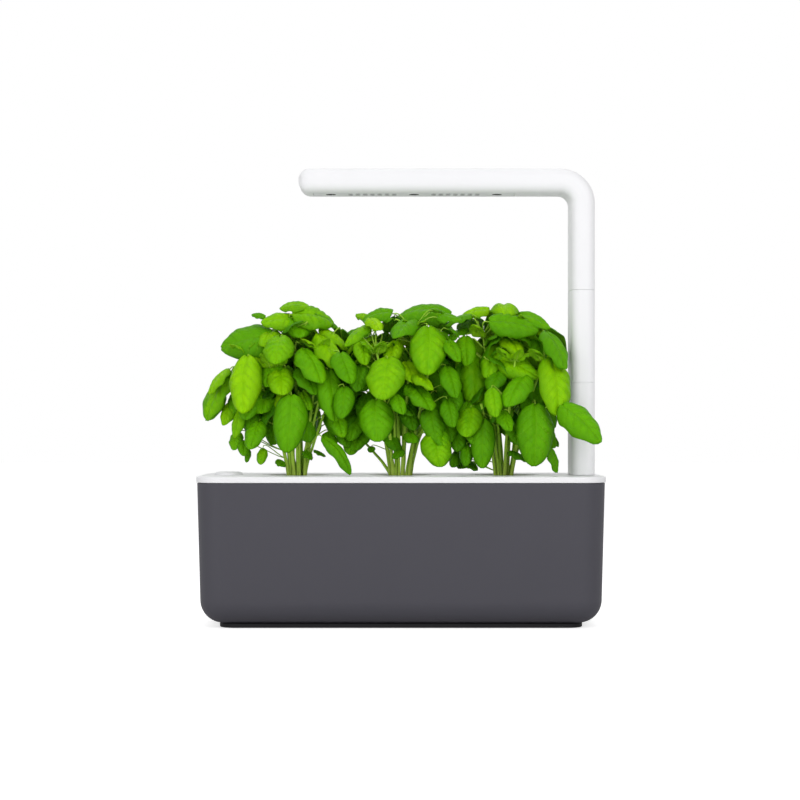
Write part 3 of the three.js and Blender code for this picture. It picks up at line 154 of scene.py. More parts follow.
class Finish(Nodes):
    """A Principled material."""

    def __init__(self, name, roughness=0.5, **sockets):
        self.material = bpy.data.materials.new(name)
        super().__init__(self.material, "Principled BSDF")
        for socket, value in {"Roughness": roughness, **sockets}.items():
            self.feed(socket.replace("_", " "), value)

    def bump(self, height, depth):
        """Relief from a height of 0 to 1, its depth in millimetres."""
        inputs = {"Distance": depth * MM, "Strength": 1.0, "Height": height}
        self.feed("Normal", self.node("Bump", "Normal", inputs))


def moulded(name, colour, roughness, grain=0.35, depth=0.012, spread=0.03, **sockets):
    """Moulded plastic: a fine etched grain, with slow changes in colour and gloss."""
    finish = Finish(name, **sockets)
    slow = finish.noise(22, 3)
    tint = finish.mix(slow, shaded(colour, 1 - spread), shaded(colour, 1 + spread))
    finish.feed("Base Color", tint)
    finish.feed("Roughness", finish.span(slow, 0.3, 0.7, roughness - 0.04, roughness + 0.04))
    finish.bump(finish.noise(1 / (grain * MM)), depth)
    return finish.material


def metal(name, colour, roughness, along):
    """Metal with fine drawn lines; along has a small scale in the direction of the lines."""
    finish = Finish(name, Metallic=1.0)
    stretched = finish.node("Mapping", 0, {"Scale": along, "Vector": finish.place()})
    lines = finish.noise(1, 3, stretched)
    finish.feed("Base Color", finish.mix(lines, shaded(colour, 0.88), shaded(colour, 1.08)))
    finish.feed("Roughness", finish.span(lines, 0.3, 0.7, roughness - 0.07, roughness + 0.09))
    finish.bump(lines, 0.01)
    return finish.material


def fibrous(name, colour, fibre, depth, spread=0.18):
    """Felt, paper or foam: soft and dull, with fibres or cells of a size in millimetres."""
    finish = Finish(name, 0.95, Sheen_Weight=0.25, Sheen_Roughness=0.5)
    fine = finish.noise(1 / (fibre * MM), 5)
    wide = finish.span(finish.noise(1 / (fibre * 9 * MM)), 0.35, 0.65, 0, 0.35)
    tint = finish.mix(fine, shaded(colour, 1 - spread), shaded(colour, 1 + spread / 2))
    finish.feed("Base Color", finish.mix(wide, tint, shaded(colour, 0.9)))
    finish.bump(fine, depth)
    return finish.material


def peat():
    """Growing medium: dark crumbs with paler fibres."""
    finish = Finish("peat", 0.95)
    crumbs = finish.cells(1 / (1.6 * MM))
    fine = finish.noise(1 / (0.5 * MM), 5)
    level = finish.plus(finish.times(crumbs, 0.6), finish.times(fine, 0.6))
    shades = ((0.2, srgb(30, 21, 15)), (0.55, srgb(58, 42, 30)), (0.85, srgb(104, 82, 58)))
    finish.feed("Base Color", finish.ramp(level, shades))
    finish.bump(finish.plus(crumbs, fine), 0.5)
    return finish.material


def circuit(name, colour):
    """A printed board: solder mask with faint tracks under it."""
    finish = Finish(name, 0.42, Coat_Weight=0.3)
    grid = finish.cells(1 / (2.6 * MM), "DISTANCE_TO_EDGE")
    track = finish.span(grid, 0.02, 0.05, 1, 0)
    finish.feed("Base Color", finish.mix(finish.times(track, 0.5), colour, shaded(colour, 0.78)))
    finish.bump(track, 0.03)
    return finish.material


def phosphor():
    """The yellow face of a light diode in its pale frame."""
    finish = Finish("phosphor")
    grain = finish.noise(1 / (0.4 * MM), 3)
    finish.feed("Base Color", finish.mix(grain, srgb(206, 178, 92), srgb(236, 214, 140)))
    finish.bump(grain, 0.02)
    return finish.material


# The side veins of a leaf, which its shape and its colour share
vein_pairs, vein_sweep, vein_curve = 6, 0.28, 1.2


def green_skin(name, roughness, weight, scale, gloss):
    """A material that lets a little light through, as leaves and stems do."""
    under = {"Subsurface_Weight": weight, "Subsurface_Scale": scale}
    return Finish(name, roughness, Subsurface_Radius=(0.6, 1.0, 0.2), Specular_IOR_Level=gloss, **under)


def foliage():
    """A leaf: blade holds the share along it, the share across it and a number of its own;
    shade holds its tone and 1 on its underside."""
    finish = green_skin("basil_leaf", 0.4, 0.06, 0.002, 0.07)
    along, across, _ = finish.attribute("blade")
    tone, under, _ = finish.attribute("shade")
    reach = finish.math("ABSOLUTE", across)
    swept = finish.times(finish.math("POWER", reach, vein_curve), vein_sweep)
    phase = finish.times(finish.math("SUBTRACT", along, swept), float(vein_pairs))
    wave = finish.math("PINGPONG", phase, 0.5)
    side_vein = finish.times(finish.span(wave, 0, 0.075, 1, 0), finish.span(reach, 0.5, 1, 1, 0.15))
    vein = finish.math("MAXIMUM", side_vein, finish.span(reach, 0.015, 0.06, 1, 0))
    mottle = finish.noise(160, 3)
    net = finish.span(finish.cells(1 / (1.5 * MM), "DISTANCE_TO_EDGE"), 0, 0.1, 1, 0)
    level = finish.plus(tone, finish.times(finish.math("SUBTRACT", mottle, 0.5), 0.35))
    # The tone ramp runs from deep to bright green; a leaf's tone is partly its own green and partly painted
    # light and shade.
    deep, fresh, bright = (0.046, 0.205, 0.0005, 1), (0.125, 0.41, 0.0005, 1), (0.36, 0.72, 0.001, 1)
    green = finish.ramp(level, ((0, deep), (0.5, fresh), (1, bright)))
    pale = finish.mix(0.4, green, (0.32, 0.58, 0.01, 1))
    upper = finish.mix(finish.times(vein, 0.17), green, pale)
    upper = finish.mix(finish.times(net, 0.12), upper, pale)
    # Painted shade: a darker band each side of the side veins, where their sunk creases would lie in shade.
    vein_valley_shade = finish.times(finish.span(wave, 0, 0.24, 1, 0), 0.05)
    # Painted shade: the blade darkens towards its margins so that it looks domed; both marks mix towards a
    # deep shaded green.
    edge = finish.times(finish.span(reach, 0.4, 1, 0, 1), 0.5)
    upper = finish.mix(finish.math("MAXIMUM", vein_valley_shade, edge), upper, (0.035, 0.16, 0.001, 1))
    lower = finish.mix(0.35, upper, (0.22, 0.46, 0.02, 1))
    finish.feed("Base Color", finish.mix(under, upper, lower))
    finish.feed("Roughness", finish.span(mottle, 0.3, 0.7, 0.34, 0.46))
    relief = finish.math("SUBTRACT", finish.times(net, -0.2), finish.times(vein, 0.45))
    finish.bump(finish.plus(relief, finish.times(finish.noise(2500), 0.15)), 0.45)
    return finish.material


def stalk_skin():
    """A stem: blade holds the share up it and the turn round it, which draws fine lines."""
    finish = green_skin("basil_stem", 0.5, 0.1, 0.0015, 0.1)
    rise, turn, _ = finish.attribute("blade")
    speck = finish.noise(700, 3)
    level = finish.plus(rise, finish.times(finish.math("SUBTRACT", speck, 0.5), 0.3))
    shades = ((0, srgb(168, 188, 84)), (0.25, srgb(166, 206, 70)), (1, srgb(160, 208, 62)))
    ridges = finish.math("PINGPONG", finish.times(turn, 4.0), 0.5)
    skin = finish.mix(finish.times(ridges, 0.4), finish.ramp(level, shades), srgb(112, 162, 34))
    finish.feed("Base Color", skin)
    finish.bump(finish.plus(ridges, speck), 0.12)
    return finish.material


charcoal = moulded("tank_charcoal", srgb(72, 71, 78), 0.5, depth=0.015, Specular_IOR_Level=0.2)
foot_black = moulded("foot_black", srgb(24, 24, 27), 0.6, Specular_IOR_Level=0.25)
lid_white = moulded("lid_white", srgb(232, 232, 234), 0.38, spread=0.012)
lamp_white = moulded(
    "lamp_white", srgb(236, 236, 238), 0.4, spread=0.01, depth=0.006, Specular_IOR_Level=0.2
)
cover_grey = moulded("cover_grey", srgb(228, 229, 231), 0.48, spread=0.02)
# Painted shade: grey walls for the lamp's light holes, which read dark as if in shade.
hole_shade_grey = moulded("hole_shade_grey", srgb(122, 123, 127), 0.6, spread=0.02)
pod_cream = moulded("pod_cream", srgb(228, 228, 220), 0.5)
# Dark plastic of the jack and the leads; on the walls of the lamp's screw wells it is painted shade.
dark_plastic = moulded("dark_plastic", srgb(38, 38, 41), 0.48)
black_rubber = moulded("black_rubber", srgb(26, 26, 28), 0.85, grain=0.6, depth=0.05)
bright_steel = metal("bright_steel", srgb(186, 188, 192), 0.32, (900, 900, 120))
drawn_aluminium = metal("drawn_aluminium", srgb(200, 202, 204), 0.38, (60, 1800, 1800))
brass = metal("brass", srgb(201, 164, 82), 0.34, (1200, 1200, 150))
white_board = circuit("white_board", srgb(226, 230, 224))
green_board = circuit("green_board", srgb(34, 92, 58))
yellow_phosphor = phosphor()
wick_felt = fibrous("wick_felt", srgb(212, 207, 194), 0.28, 0.25)
float_foam = fibrous("float_foam", srgb(234, 232, 226), 0.8, 0.12, spread=0.05)
collar_paper = fibrous("collar_paper", srgb(238, 236, 228), 0.35, 0.05, spread=0.05)
dark_peat = peat()
leaf_green = foliage()
stem_green = stalk_skin()


# Shapes: a shape is a list of points in millimetres and a list of faces

ROUND = 48  # sides of a turned piece
SMOOTH = 72  # sides of the float's cap and the pods' collars
FINE = 96  # sides of the pods, their cups and openings
SMALL = 24  # sides of screws, their holes and other small ones
CORNER = 10  # steps in a rounded corner
EDGE = 4  # steps in a rounded edge
OVERRUN = 1  # how far a cutter runs past the face that it opens
SINK = 0.4  # how far a joined shape reaches into its parent


def bridge(rings, closed=False):
    """A closed surface through rings of points. An open row of rings gets an end face each."""
    count = len(rings[0])
    points = [point for ring in rings for point in ring]
    faces = []
    for i in range(len(rings) if closed else len(rings) - 1):
        low = i * count
        high = (i + 1) % len(rings) * count
        for j in range(count):
            k = (j + 1) % count
            faces.append((low + j, low + k, high + k, high + j))
    if not closed:
        faces.append(tuple(reversed(range(count))))
        faces.append(tuple(range(len(points) - count, len(points))))
    return points, faces


def outline(half_x, half_y, radius, steps=CORNER):
    """A rounded rectangle, anticlockwise."""
    points = []
    for quarter, (sx, sy) in enumerate(((1, 1), (-1, 1), (-1, -1), (1, -1))):
        for i in range(steps + 1):
            angle = QUARTER * (quarter + i / steps)
            x = sx * (half_x - radius) + radius * math.cos(angle)
            points.append((x, sy * (half_y - radius) + radius * math.sin(angle)))
    return points


def inset_outline(half_x, half_y, radius, inset, steps=CORNER):
    """A rounded rectangle shrunk by an inset, whose corners never turn quite sharp."""
    return outline(half_x - inset, half_y - inset, max(radius - inset, 0.02 * radius), steps)


def rounded_rings(half_x, half_y, radius, stations, x=0, y=0, steps=CORNER):
    """Rings of a rounded rectangle; a station is an inset from the outline and a height."""
    return [
        [(x + px, y + py, z) for px, py in inset_outline(half_x, half_y, radius, inset, steps)]
        for inset, z in stations
    ]


def rounding(edge, z, rising, steps=EDGE):
    """Stations of a rounded edge: rising from a bottom face, or else up into a top face."""
    stations = []
    for i in range(steps + 1):
        angle = QUARTER * (i / steps if rising else 1 - i / steps)
        lift = edge * (1 - math.cos(angle))
        stations.append((edge * (1 - math.sin(angle)), z + (lift if rising else -lift)))
    return stations


def prism(half_x, half_y, radius, low, high, x=0, y=0, edge=0.0, steps=CORNER):
    """An upright block with rounded corners and, with an edge, rounded ends."""
    stations = [(0, low), (0, high)]
    if edge:
        stations = rounding(edge, low, True) + rounding(edge, high, False)
    return bridge(rounded_rings(half_x, half_y, radius, stations, x, y, steps))


def lathe(profile, x=0, y=0, sides=ROUND, closed=False):
    """A turned shape; its profile runs up the outside, as pairs of radius and height."""
    angles = [2 * math.pi * i / sides for i in range(sides)]
    rings = [
        [(x + radius * math.cos(a), y + radius * math.sin(a), z) for a in angles]
        for radius, z in profile
    ]
    return bridge(rings, closed)


def rod(radius, low, high, x=0, y=0, sides=ROUND):
    return lathe([(radius, low), (radius, high)], x, y, sides)


def mouth(radius, low, high, x=0, sides=ROUND):
    """A cutter for a round hole whose upper rim at the given height is chamfered."""
    chamfer = 0.3
    profile = [(radius, low), (radius, high - chamfer), (radius + chamfer + OVERRUN, high + OVERRUN)]
    return lathe(profile, x, sides=sides)


def block(low, high):
    (x0, y0, z0), (x1, y1, z1) = low, high
    return bridge([[(x0, y0, z), (x1, y0, z), (x1, y1, z), (x0, y1, z)] for z in (z0, z1)])


def turned(shape, x=0, y=0, z=0, about_z=0.0, along_y=False):
    """The shape laid along Y or turned about Z, then moved."""
    points, faces = shape
    cosine, sine = math.cos(about_z), math.sin(about_z)
    moved = []
    for px, py, pz in points:
        if along_y:
            px, py, pz = px, pz, -py
        moved.append((x + px * cosine - py * sine, y + px * sine + py * cosine, z + pz))
    return moved, faces


def slot_bar(half_x, half_z, reach, x, z, about_z, steps):
    """A cutter for an upright slot through two walls of a turned piece."""
    bar = prism(half_x, half_z, half_x, -reach - OVERRUN, reach + OVERRUN, steps=steps)
    return turned(turned(bar, along_y=True), x, 0, z, about_z=about_z)


def gathered(*shapes):
    """Several shapes as one list, each still its own closed surface."""
    points, faces = [], []
    for more_points, more_faces in shapes:
        start = len(points)
        points.extend(more_points)
        faces.extend(tuple(start + i for i in face) for face in more_faces)
    return points, faces


# Pieces

sharp_angle = math.radians(32)


def make(name, shape, *finishes):
    mesh = bpy.data.meshes.new(name)
    mesh.from_pydata(shape[0], [], shape[1])
    for finish in finishes:
        mesh.materials.append(finish)
    piece = bpy.data.objects.new(name, mesh)
    scene.collection.objects.link(piece)
    return piece


def apply_modifiers(piece):
    graph = bpy.context.evaluated_depsgraph_get()
    mesh = bpy.data.meshes.new_from_object(piece.evaluated_get(graph), depsgraph=graph)
    old = piece.data
    piece.modifiers.clear()
    piece.data = mesh
    bpy.data.meshes.remove(old)


def combine(piece, operation, shapes):
    for shape in shapes:
        tool = make("tool", shape, *piece.data.materials)
        change = piece.modifiers.new("combine", "BOOLEAN")
        change.operation = operation
        change.solver = "MANIFOLD"
        change.object = tool
        apply_modifiers(piece)
        spent = tool.data
        bpy.data.objects.remove(tool)
        bpy.data.meshes.remove(spent)


def cut(piece, *shapes):
    combine(piece, "DIFFERENCE", shapes)


def join(piece, *shapes):
    combine(piece, "UNION", shapes)


def dress(piece, body, slot, *nodes, organic=False):
    """Scales a piece to metres, smooths its shading, ties it to its body and hides its CAD nodes."""
    mesh = piece.data
    for vertex in mesh.vertices:
        vertex.co *= MM
    mesh.polygons.foreach_set("use_smooth", [True] * len(mesh.polygons))
    if not organic:
        mesh.set_sharp_from_angle(angle=sharp_angle)
        even = piece.modifiers.new("even", "WEIGHTED_NORMAL")
        even.keep_sharp = True
        apply_modifiers(piece)
    piece.data.name = piece.name
    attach(piece, body)
    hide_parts(*nodes)


def add_piece(name, shape, finish, body, slot, node, organic=False):
    """A piece that needs no cuts or joins, made and dressed."""
    dress(make(name, shape, finish), body, slot, node, organic=organic)


def screw_shape(x, y, head_radius, low, head_height, shaft_radius, length):
    """A screw with its head below: a domed rim, a shaft with thread ridges and a blunt end."""
    soft = head_radius * 0.12
    shoulder = low + head_height
    pitch, ridge = shaft_radius * 0.55, shaft_radius * 0.14
    profile = [(head_radius - soft, low), (head_radius, low + soft), (head_radius, low + head_height / 2)]
    profile.append((shaft_radius - ridge, shoulder))
    for i in range(int((length - pitch) / pitch)):
        profile.append((shaft_radius, shoulder + pitch * (i + 0.5)))
        profile.append((shaft_radius - ridge, shoulder + pitch * (i + 1)))
    profile.append((shaft_radius * 0.7, shoulder + length))
    return lathe(profile, x, y, SMALL)


def add_screw(name, body, node, shaft, head_height):
    """A finer screw in place of a CAD screw, with a cross cut into its head."""
    box = Box(node)
    x, y, low, head = box.x, box.y, box.bottom, box.half_x
    shape = screw_shape(x, y, head, low, head_height, shaft, box.top - low - head_height)
    piece = make(name, shape, bright_steel)
    arm, half, depth = head * 0.55, head * 0.11, head_height * 0.6
    for dx, dy in ((arm, half), (half, arm)):
        cut(piece, block((x - dx, y - dy, low - OVERRUN), (x + dx, y + dy, low + depth)))
    dress(piece, body, "steel", node)


# Sizes that several pieces share; the outer ones come from the frame

seat_gap = 0.3
tub = Box("tub")
tank_bottom, tank_top = tub.bottom, tub.top
tank_wall, tank_floor, tank_draft = 2.5, 3.0, 2.7
tank_corner, tank_rounding = 20.0, 17.0
foot = Box("base_foot")
foot_screw = Box("foot_screw_3")
foot_screw_places = [(sx * foot_screw.x, sy * foot_screw.y) for sx in (-1, 1) for sy in (-1, 1)]
foot_screw_hole = 1.9

lid_box = Box("lid")
lid_top = lid_box.top
lid_bottom = tank_top + seat_gap
plate_bottom = lid_top - 2.5
lid_corner = tank_corner + lid_box.half_x - tub.half_x
lip_inset, lip_wall, lip_depth = 3.75, 1.5, 6.0
dry_box, inlet = Box("socket_cover"), Box("power_inlet")
socket_screws = [Box(f"socket_screw_{i}") for i in (1, 2)]
boss_radius = 3

sides = ("left", "middle", "right")
pod_x = {side: Box(f"pod_cup_{side}").x for side in sides}
flange_height, cup_flange = 1.2, 26.7
seat_depth = flange_height + 2 * seat_gap

lower_tube = Box("extension_lower")
column_x, column_half_x = lower_tube.x, lower_tube.half_x
column = (column_half_x, lower_tube.half_y, 7.0)  # half width, half depth and corner
shell_wall, lift_play = 2.0, 0.5
spigot_length, spigot_wall, shoulder = 20.0, 1.6, 3.0
spigot_edge, tube_edge, lead_radius = 0.5, 0.12, 1.45


def section(inset):
    """Half width, half depth and corner of the column's section, shrunk by an inset."""
    return [size - inset for size in column]


socket = section(shell_wall)


# Tank


def tank_bowl(inset, radius, bottom):
    """Stations from the floor round the bottom edge to the side, which leans in below."""
    lean = tank_draft * (tank_top - bottom - radius) / (tank_top - tank_bottom)
    return [(inset + lean + more, z) for more, z in rounding(radius, bottom, True, 12)]


def add_tank():
    floor_top = tank_bottom + tank_floor
    outside = tank_bowl(0, tank_rounding, tank_bottom)
    inside = tank_bowl(tank_wall, tank_rounding - tank_wall, floor_top)
    rim, boss_radii, boss_height, screw_depth = 0.5, (5.2, 4.6, 4.2), 8, 8
    over = rounding(rim, tank_top, False)
    back = [(tank_wall - inset, z) for inset, z in reversed(over)]
    stations = outside + over + back + inside[::-1]
    rings = rounded_rings(tub.half_x, tub.half_y, tank_corner, stations)
    tank = make("tank_shell", bridge(rings), charcoal)
    levels = (floor_top - SINK, floor_top + 1, floor_top + boss_height)
    for x, y in foot_screw_places:
        join(tank, lathe(list(zip(boss_radii, levels)), x, y))
        cut(tank, rod(foot_screw_hole, tank_bottom - OVERRUN, tank_bottom + screw_depth, x, y, SMALL))
    notch, notch_depth = 6.0, 10
    x, z, front, rear = inlet.x, inlet.z, tub.half_y - notch_depth, tub.half_y + OVERRUN
    cut(
        tank,
        block((x - notch, front, z), (x + notch, rear, tank_top + OVERRUN)),
        turned(rod(notch, front, rear), x, 0, z, along_y=True),
    )
    dress(tank, "tank", "tank_plastic", "tub")


def add_foot():
    corner, edge, head_hole, head_depth = 12, 0.7, 3.7, 2.3
    pad_hole, pad_depth, pad_radius, pad_edge = 7.3, 1.6, 7.0, 0.4
    groove = [(3.6, 0), (3.9, 0.3), (4.7, 0.3), (5, 0)]
    shape = prism(foot.half_x, foot.half_y, corner, 0, foot.top, edge=edge)
    plate = make("foot_plate", shape, foot_black)
    for x, y in foot_screw_places:
        cut(plate, rod(foot_screw_hole, -OVERRUN, foot.top + OVERRUN, x, y, SMALL))
        cut(plate, rod(head_hole, -OVERRUN, head_depth, x, y))
    for i in range(1, 5):
        box = Box(f"foot_pad_{i}")
        cut(plate, rod(pad_hole, -OVERRUN, pad_depth, box.x, box.y))
        side = [(pad_radius - pad_edge, 0), (pad_radius, pad_edge), (pad_radius, box.top)]
        pad = lathe(groove + side, box.x, box.y)
        add_piece(f"pad_{i}", pad, black_rubber, "tank", "rubber", f"foot_pad_{i}")
        add_screw(f"foot_bolt_{i}", "tank", f"foot_screw_{i}", shaft=1.6, head_height=1.4)
    dress(plate, "tank", "foot_plastic", "base_foot")


# Lid with the dry box under it


def add_lid():
    outer, inner, lip_bottom = lip_inset, lip_inset + lip_wall, lid_bottom - lip_depth
    stations = [(inner, plate_bottom), (inner, lip_bottom), (outer, lip_bottom), (outer, lid_bottom)]
    under_edge, top_edge = 0.4, 1.2
    stations += rounding(under_edge, lid_bottom, True) + rounding(top_edge, lid_top, False, 6)
    rings = rounded_rings(lid_box.half_x, lid_box.half_y, lid_corner, stations)
    lid = make("lid_panel", bridge(rings), lid_white)
    in_plate, over_lid = plate_bottom + SINK, lid_top + OVERRUN

    wall, corner, floor = 1.8, 14, dry_box.bottom
    half_x, half_y = (half + seat_gap + wall for half in (dry_box.half_x, dry_box.half_y))
    x, y = dry_box.x, dry_box.y
    box = make("box", prism(half_x, half_y, corner, floor, in_plate, x, y), lid_white)
    inside = (half_x - wall, half_y - wall, corner - wall)
    cut(box, prism(*inside, floor - OVERRUN, plate_bottom, x, y))
    mesh = box.data
    box_shape = [tuple(v.co) for v in mesh.vertices], [tuple(p.vertices) for p in mesh.polygons]
    bpy.data.objects.remove(box)
    contact_bottom, well_wall = Box("socket_contacts").bottom, 1.6
    well = [size + well_wall for size in socket]
    join(lid, box_shape, prism(*well, contact_bottom, in_plate, column_x))
    board_top, thread_radius, thread_depth = contact_bottom - seat_gap, 1.1, 12
    for screw in socket_screws:
        join(lid, rod(boss_radius, board_top + seat_gap, in_plate, screw.x, screw.y))
    cut(lid, prism(*socket, floor - OVERRUN, over_lid, column_x))
    for screw in socket_screws:
        low, high = board_top - OVERRUN, board_top + thread_depth
        cut(lid, rod(thread_radius, low, high, screw.x, screw.y, SMALL))
    rear, jack_hole = y + half_y, 4.9
    hole = rod(jack_hole, rear - wall - OVERRUN, rear + OVERRUN)
    cut(lid, turned(hole, inlet.x, 0, inlet.z, along_y=True))

    seat, opening, ring_wall = cup_flange + seat_gap, 24.6, 1.9
    for px in pod_x.values():
        join(lid, rod(seat + ring_wall, plate_bottom - ring_wall, in_plate, px, 0, FINE))
    for px in pod_x.values():
        cut(lid, rod(opening, floor, over_lid, px, 0, FINE))
        cut(lid, mouth(seat, lid_top - seat_depth, lid_top, px, sides=FINE))

    guide = Box("float_guide")
    hole, sleeve_wall, sleeve_height, float_opening = guide.half_x + seat_gap, 1.5, 5, 11.3
    join(lid, rod(hole + sleeve_wall, plate_bottom - sleeve_height, in_plate, guide.x))
    cut(lid, rod(hole, plate_bottom - 2 * sleeve_height, plate_bottom, guide.x))
    cut(lid, mouth(float_opening, plate_bottom - OVERRUN, lid_top, guide.x))
    dress(lid, "lid", "white_plastic", "lid")


def add_socket_cover():
    corner, thickness, edge, hole, head_hole, head_depth = 11.9, 1.8, 0.3, 1.2, 2.5, 1.5
    low, board_bottom = dry_box.bottom, Box("timer_board").bottom
    plate_top, under = low + thickness, low - OVERRUN
    size = (dry_box.half_x, dry_box.half_y, corner, low, plate_top)
    cover = make("dry_box_cover", prism(*size, dry_box.x, dry_box.y, edge=edge), lid_white)
    for i, screw in enumerate(socket_screws, 1):
        x, y = screw.x, screw.y
        join(cover, rod(boss_radius, plate_top - SINK, board_bottom - seat_gap, x, y))
        cut(cover, rod(hole, under, board_bottom, x, y, SMALL))
        cut(cover, rod(head_hole, under, low + head_depth, x, y))
        add_screw(f"cover_bolt_{i}", "lid", f"socket_screw_{i}", shaft=0.75, head_height=1.2)
    dress(cover, "lid", "white_plastic", "socket_cover")


def add_inlet():
    """Power jack: a body, a round sleeve that faces back, and its centre pin."""
    half_y, corner, sleeve, bore, bore_depth, pin, soft = 4.5, 0.8, 4.5, 3.2, 5, 1.0, 0.4
    front, rear = inlet.low.y, inlet.high.y
    floor = rear - bore_depth
    size = (inlet.half_x, half_y, corner, inlet.bottom, inlet.top)
    jack = make("power_jack", prism(*size, inlet.x, front + half_y, edge=soft, steps=4), dark_plastic)

    def facing_back(shape):
        return turned(shape, inlet.x, 0, inlet.z, along_y=True)

    side = [(sleeve, front + 2 * half_y - SINK), (sleeve, rear - soft), (sleeve - soft, rear)]
    join(jack, facing_back(lathe(side)))
    cut(jack, facing_back(mouth(bore, floor, rear)))
    tip = [(pin, floor - SINK), (pin, rear - 0.5 - soft), (pin - soft, rear - soft)]
    join(jack, facing_back(lathe(tip, sides=SMALL)))
    dress(jack, "lid", "dark_plastic", "power_inlet")


# Pods


def add_cup(side):
    x, box = pod_x[side], Box(f"pod_cup_{side}")
    top, bottom, flange = box.top, box.bottom, cup_flange
    radius, foot_radius, wall, soft, bevel = 24.1, 19.9, 1.6, 0.3, 1
    flange_bottom, ledge, mouth_radius = top - flange_height, top - seat_depth, radius - wall
    profile = [(foot_radius - bevel, bottom), (foot_radius, bottom + bevel), (radius, flange_bottom)]
    profile += [(flange - soft, flange_bottom), (flange, flange_bottom + soft), (flange, top - soft)]
    profile += [(flange - soft, top), (mouth_radius + 1, top), (mouth_radius + 1, ledge)]
    profile += [(mouth_radius, ledge), (foot_radius - wall, bottom + wall)]
    cup = make(f"cup_{side}", lathe(profile, x, sides=FINE), lid_white)
    wick_x, wick_y = 6.5, 1.6
    under, over = bottom - OVERRUN, bottom + wall + OVERRUN
    cut(cup, block((x - wick_x, -wick_y, under), (x + wick_x, wick_y, over)))
    dress(cup, "lid", "white_plastic", f"pod_cup_{side}")


def add_basket(side):
    x, box = pod_x[side], Box(f"pod_basket_{side}")
    top, bottom = box.top, box.bottom
    flange, radius, foot_radius, wall, soft, bevel = 23.2, 22.0, 17.8, 1.0, 0.3, 0.8
    flange_bottom, floor = top - flange_height, bottom + wall
    profile = [(foot_radius - bevel, bottom), (foot_radius, bottom + bevel), (radius, flange_bottom)]
    profile += [(flange, flange_bottom), (flange, top - soft), (flange - soft, top)]
    profile += [(radius - wall, top), (foot_radius - wall, floor)]
    basket = make(f"basket_{side}", lathe(profile, x, sides=FINE), pod_cream)
    slot_half, from_floor, from_flange, slot_pairs = 1.5, 9, 16, 3
    slot_bottom, slot_top = floor + from_floor, flange_bottom - from_flange
    middle, half = (slot_bottom + slot_top) / 2, (slot_top - slot_bottom) / 2
    for i in range(slot_pairs):
        turn = math.pi * (i + 0.5) / slot_pairs - QUARTER
        cut(basket, slot_bar(slot_half, half, radius, x, middle, turn, 6))
    dress(basket, f"plant_{side}", "pod_plastic", f"pod_basket_{side}")


def add_soil(side):
    """The growing medium: a tapered plug whose top is crumbly and rises round the stems."""
    x, box = pod_x[side], Box(f"soil_plug_{side}")
    radius, low, high = box.half_x, box.bottom, box.top
    foot_radius, open_radius, turns = radius - 4.0, 11.8, 60
    swell, lump, lump_scale, crumb, crumb_scale = 1.1, 1.0, 0.7, 0.6, 1.9
    levels = [(foot_radius - 0.8, low), (foot_radius, low + 1), (radius, high - 0.6)]
    levels += [(radius - 0.4, high), (radius * 0.85, high), (radius * 0.7, high)]
    levels += [(open_radius * share, high) for share in (1, 0.9, 0.78, 0.66, 0.54, 0.42, 0.3, 0.18, 0.06)]
    rings = []
    for reach, z in levels:
        ring = []
        for i in range(turns):
            angle = 2 * math.pi * i / turns
            px, py = x + reach * math.cos(angle), reach * math.sin(angle)
            lift = 0.0
            if z == high and reach < open_radius:
                rise = 1 - (reach / open_radius) ** 2
                lift = rise * (swell + lump * noise.noise(Vector((px, py, 0)) * lump_scale))
                lift += min(1, 3 * rise) * crumb * noise.noise(Vector((px, py, 5)) * crumb_scale)
            ring.append((px, py, z + max(lift, 0)))
        rings.append(ring)
    name, node = f"growing_plug_{side}", f"soil_plug_{side}"
    add_piece(name, bridge(rings), dark_peat, f"plant_{side}", "soil", node, organic=True)


def add_collar(side):
    """The card ring that lies on the growing medium."""
    box = Box(f"pod_collar_{side}")
    low, high, rim, hole, soft = box.bottom, box.top, box.half_x, 12.4, 0.25
    profile = [(hole + soft, low), (rim, low), (rim, high - soft), (rim - soft, high)]
    profile += [(hole + soft, high), (hole, high - soft), (hole, low + soft)]
    ring = lathe(profile, pod_x[side], sides=SMOOTH, closed=True)
    node = f"pod_collar_{side}"
    add_piece(f"collar_{side}", ring, collar_paper, f"plant_{side}", "paper", node)


def add_wick(side):
    """Felt wick: a pad under the basket and a tail down into the water, a little wavy."""
    x, box = pod_x[side], Box(f"wick_{side}")
    pad_height, pad_half_y, pad_corner, half_y, corner = 2.2, 7, 2, 1.05, 0.8
    narrowing, sway, ragged, steps = 0.12, 0.25, 0.15, 24
    low, half, pad_low = box.bottom, box.half_x, box.top - pad_height
    rings = []
    for i in range(steps + 1):
        share = i / steps
        z = low + (pad_low + SINK - low) * share
        thick = half_y * (0.85 + 0.15 * share)
        ring = outline(half * (1 - narrowing * (1 - share)), thick, corner, 3)
        wave = sway * math.sin(5 * share) * (1 - share)
        stray = [ragged * noise.noise(Vector((px, z, x))) for px, py in ring]
        rings.append([(x + px + more, py + wave, z) for (px, py), more in zip(ring, stray)])
    wick = make(f"felt_wick_{side}", bridge(rings), wick_felt)
    join(wick, prism(half, pad_half_y, pad_corner, pad_low, box.top, x, edge=0.5, steps=6))
    dress(wick, "lid", "felt", f"wick_{side}")


# Float


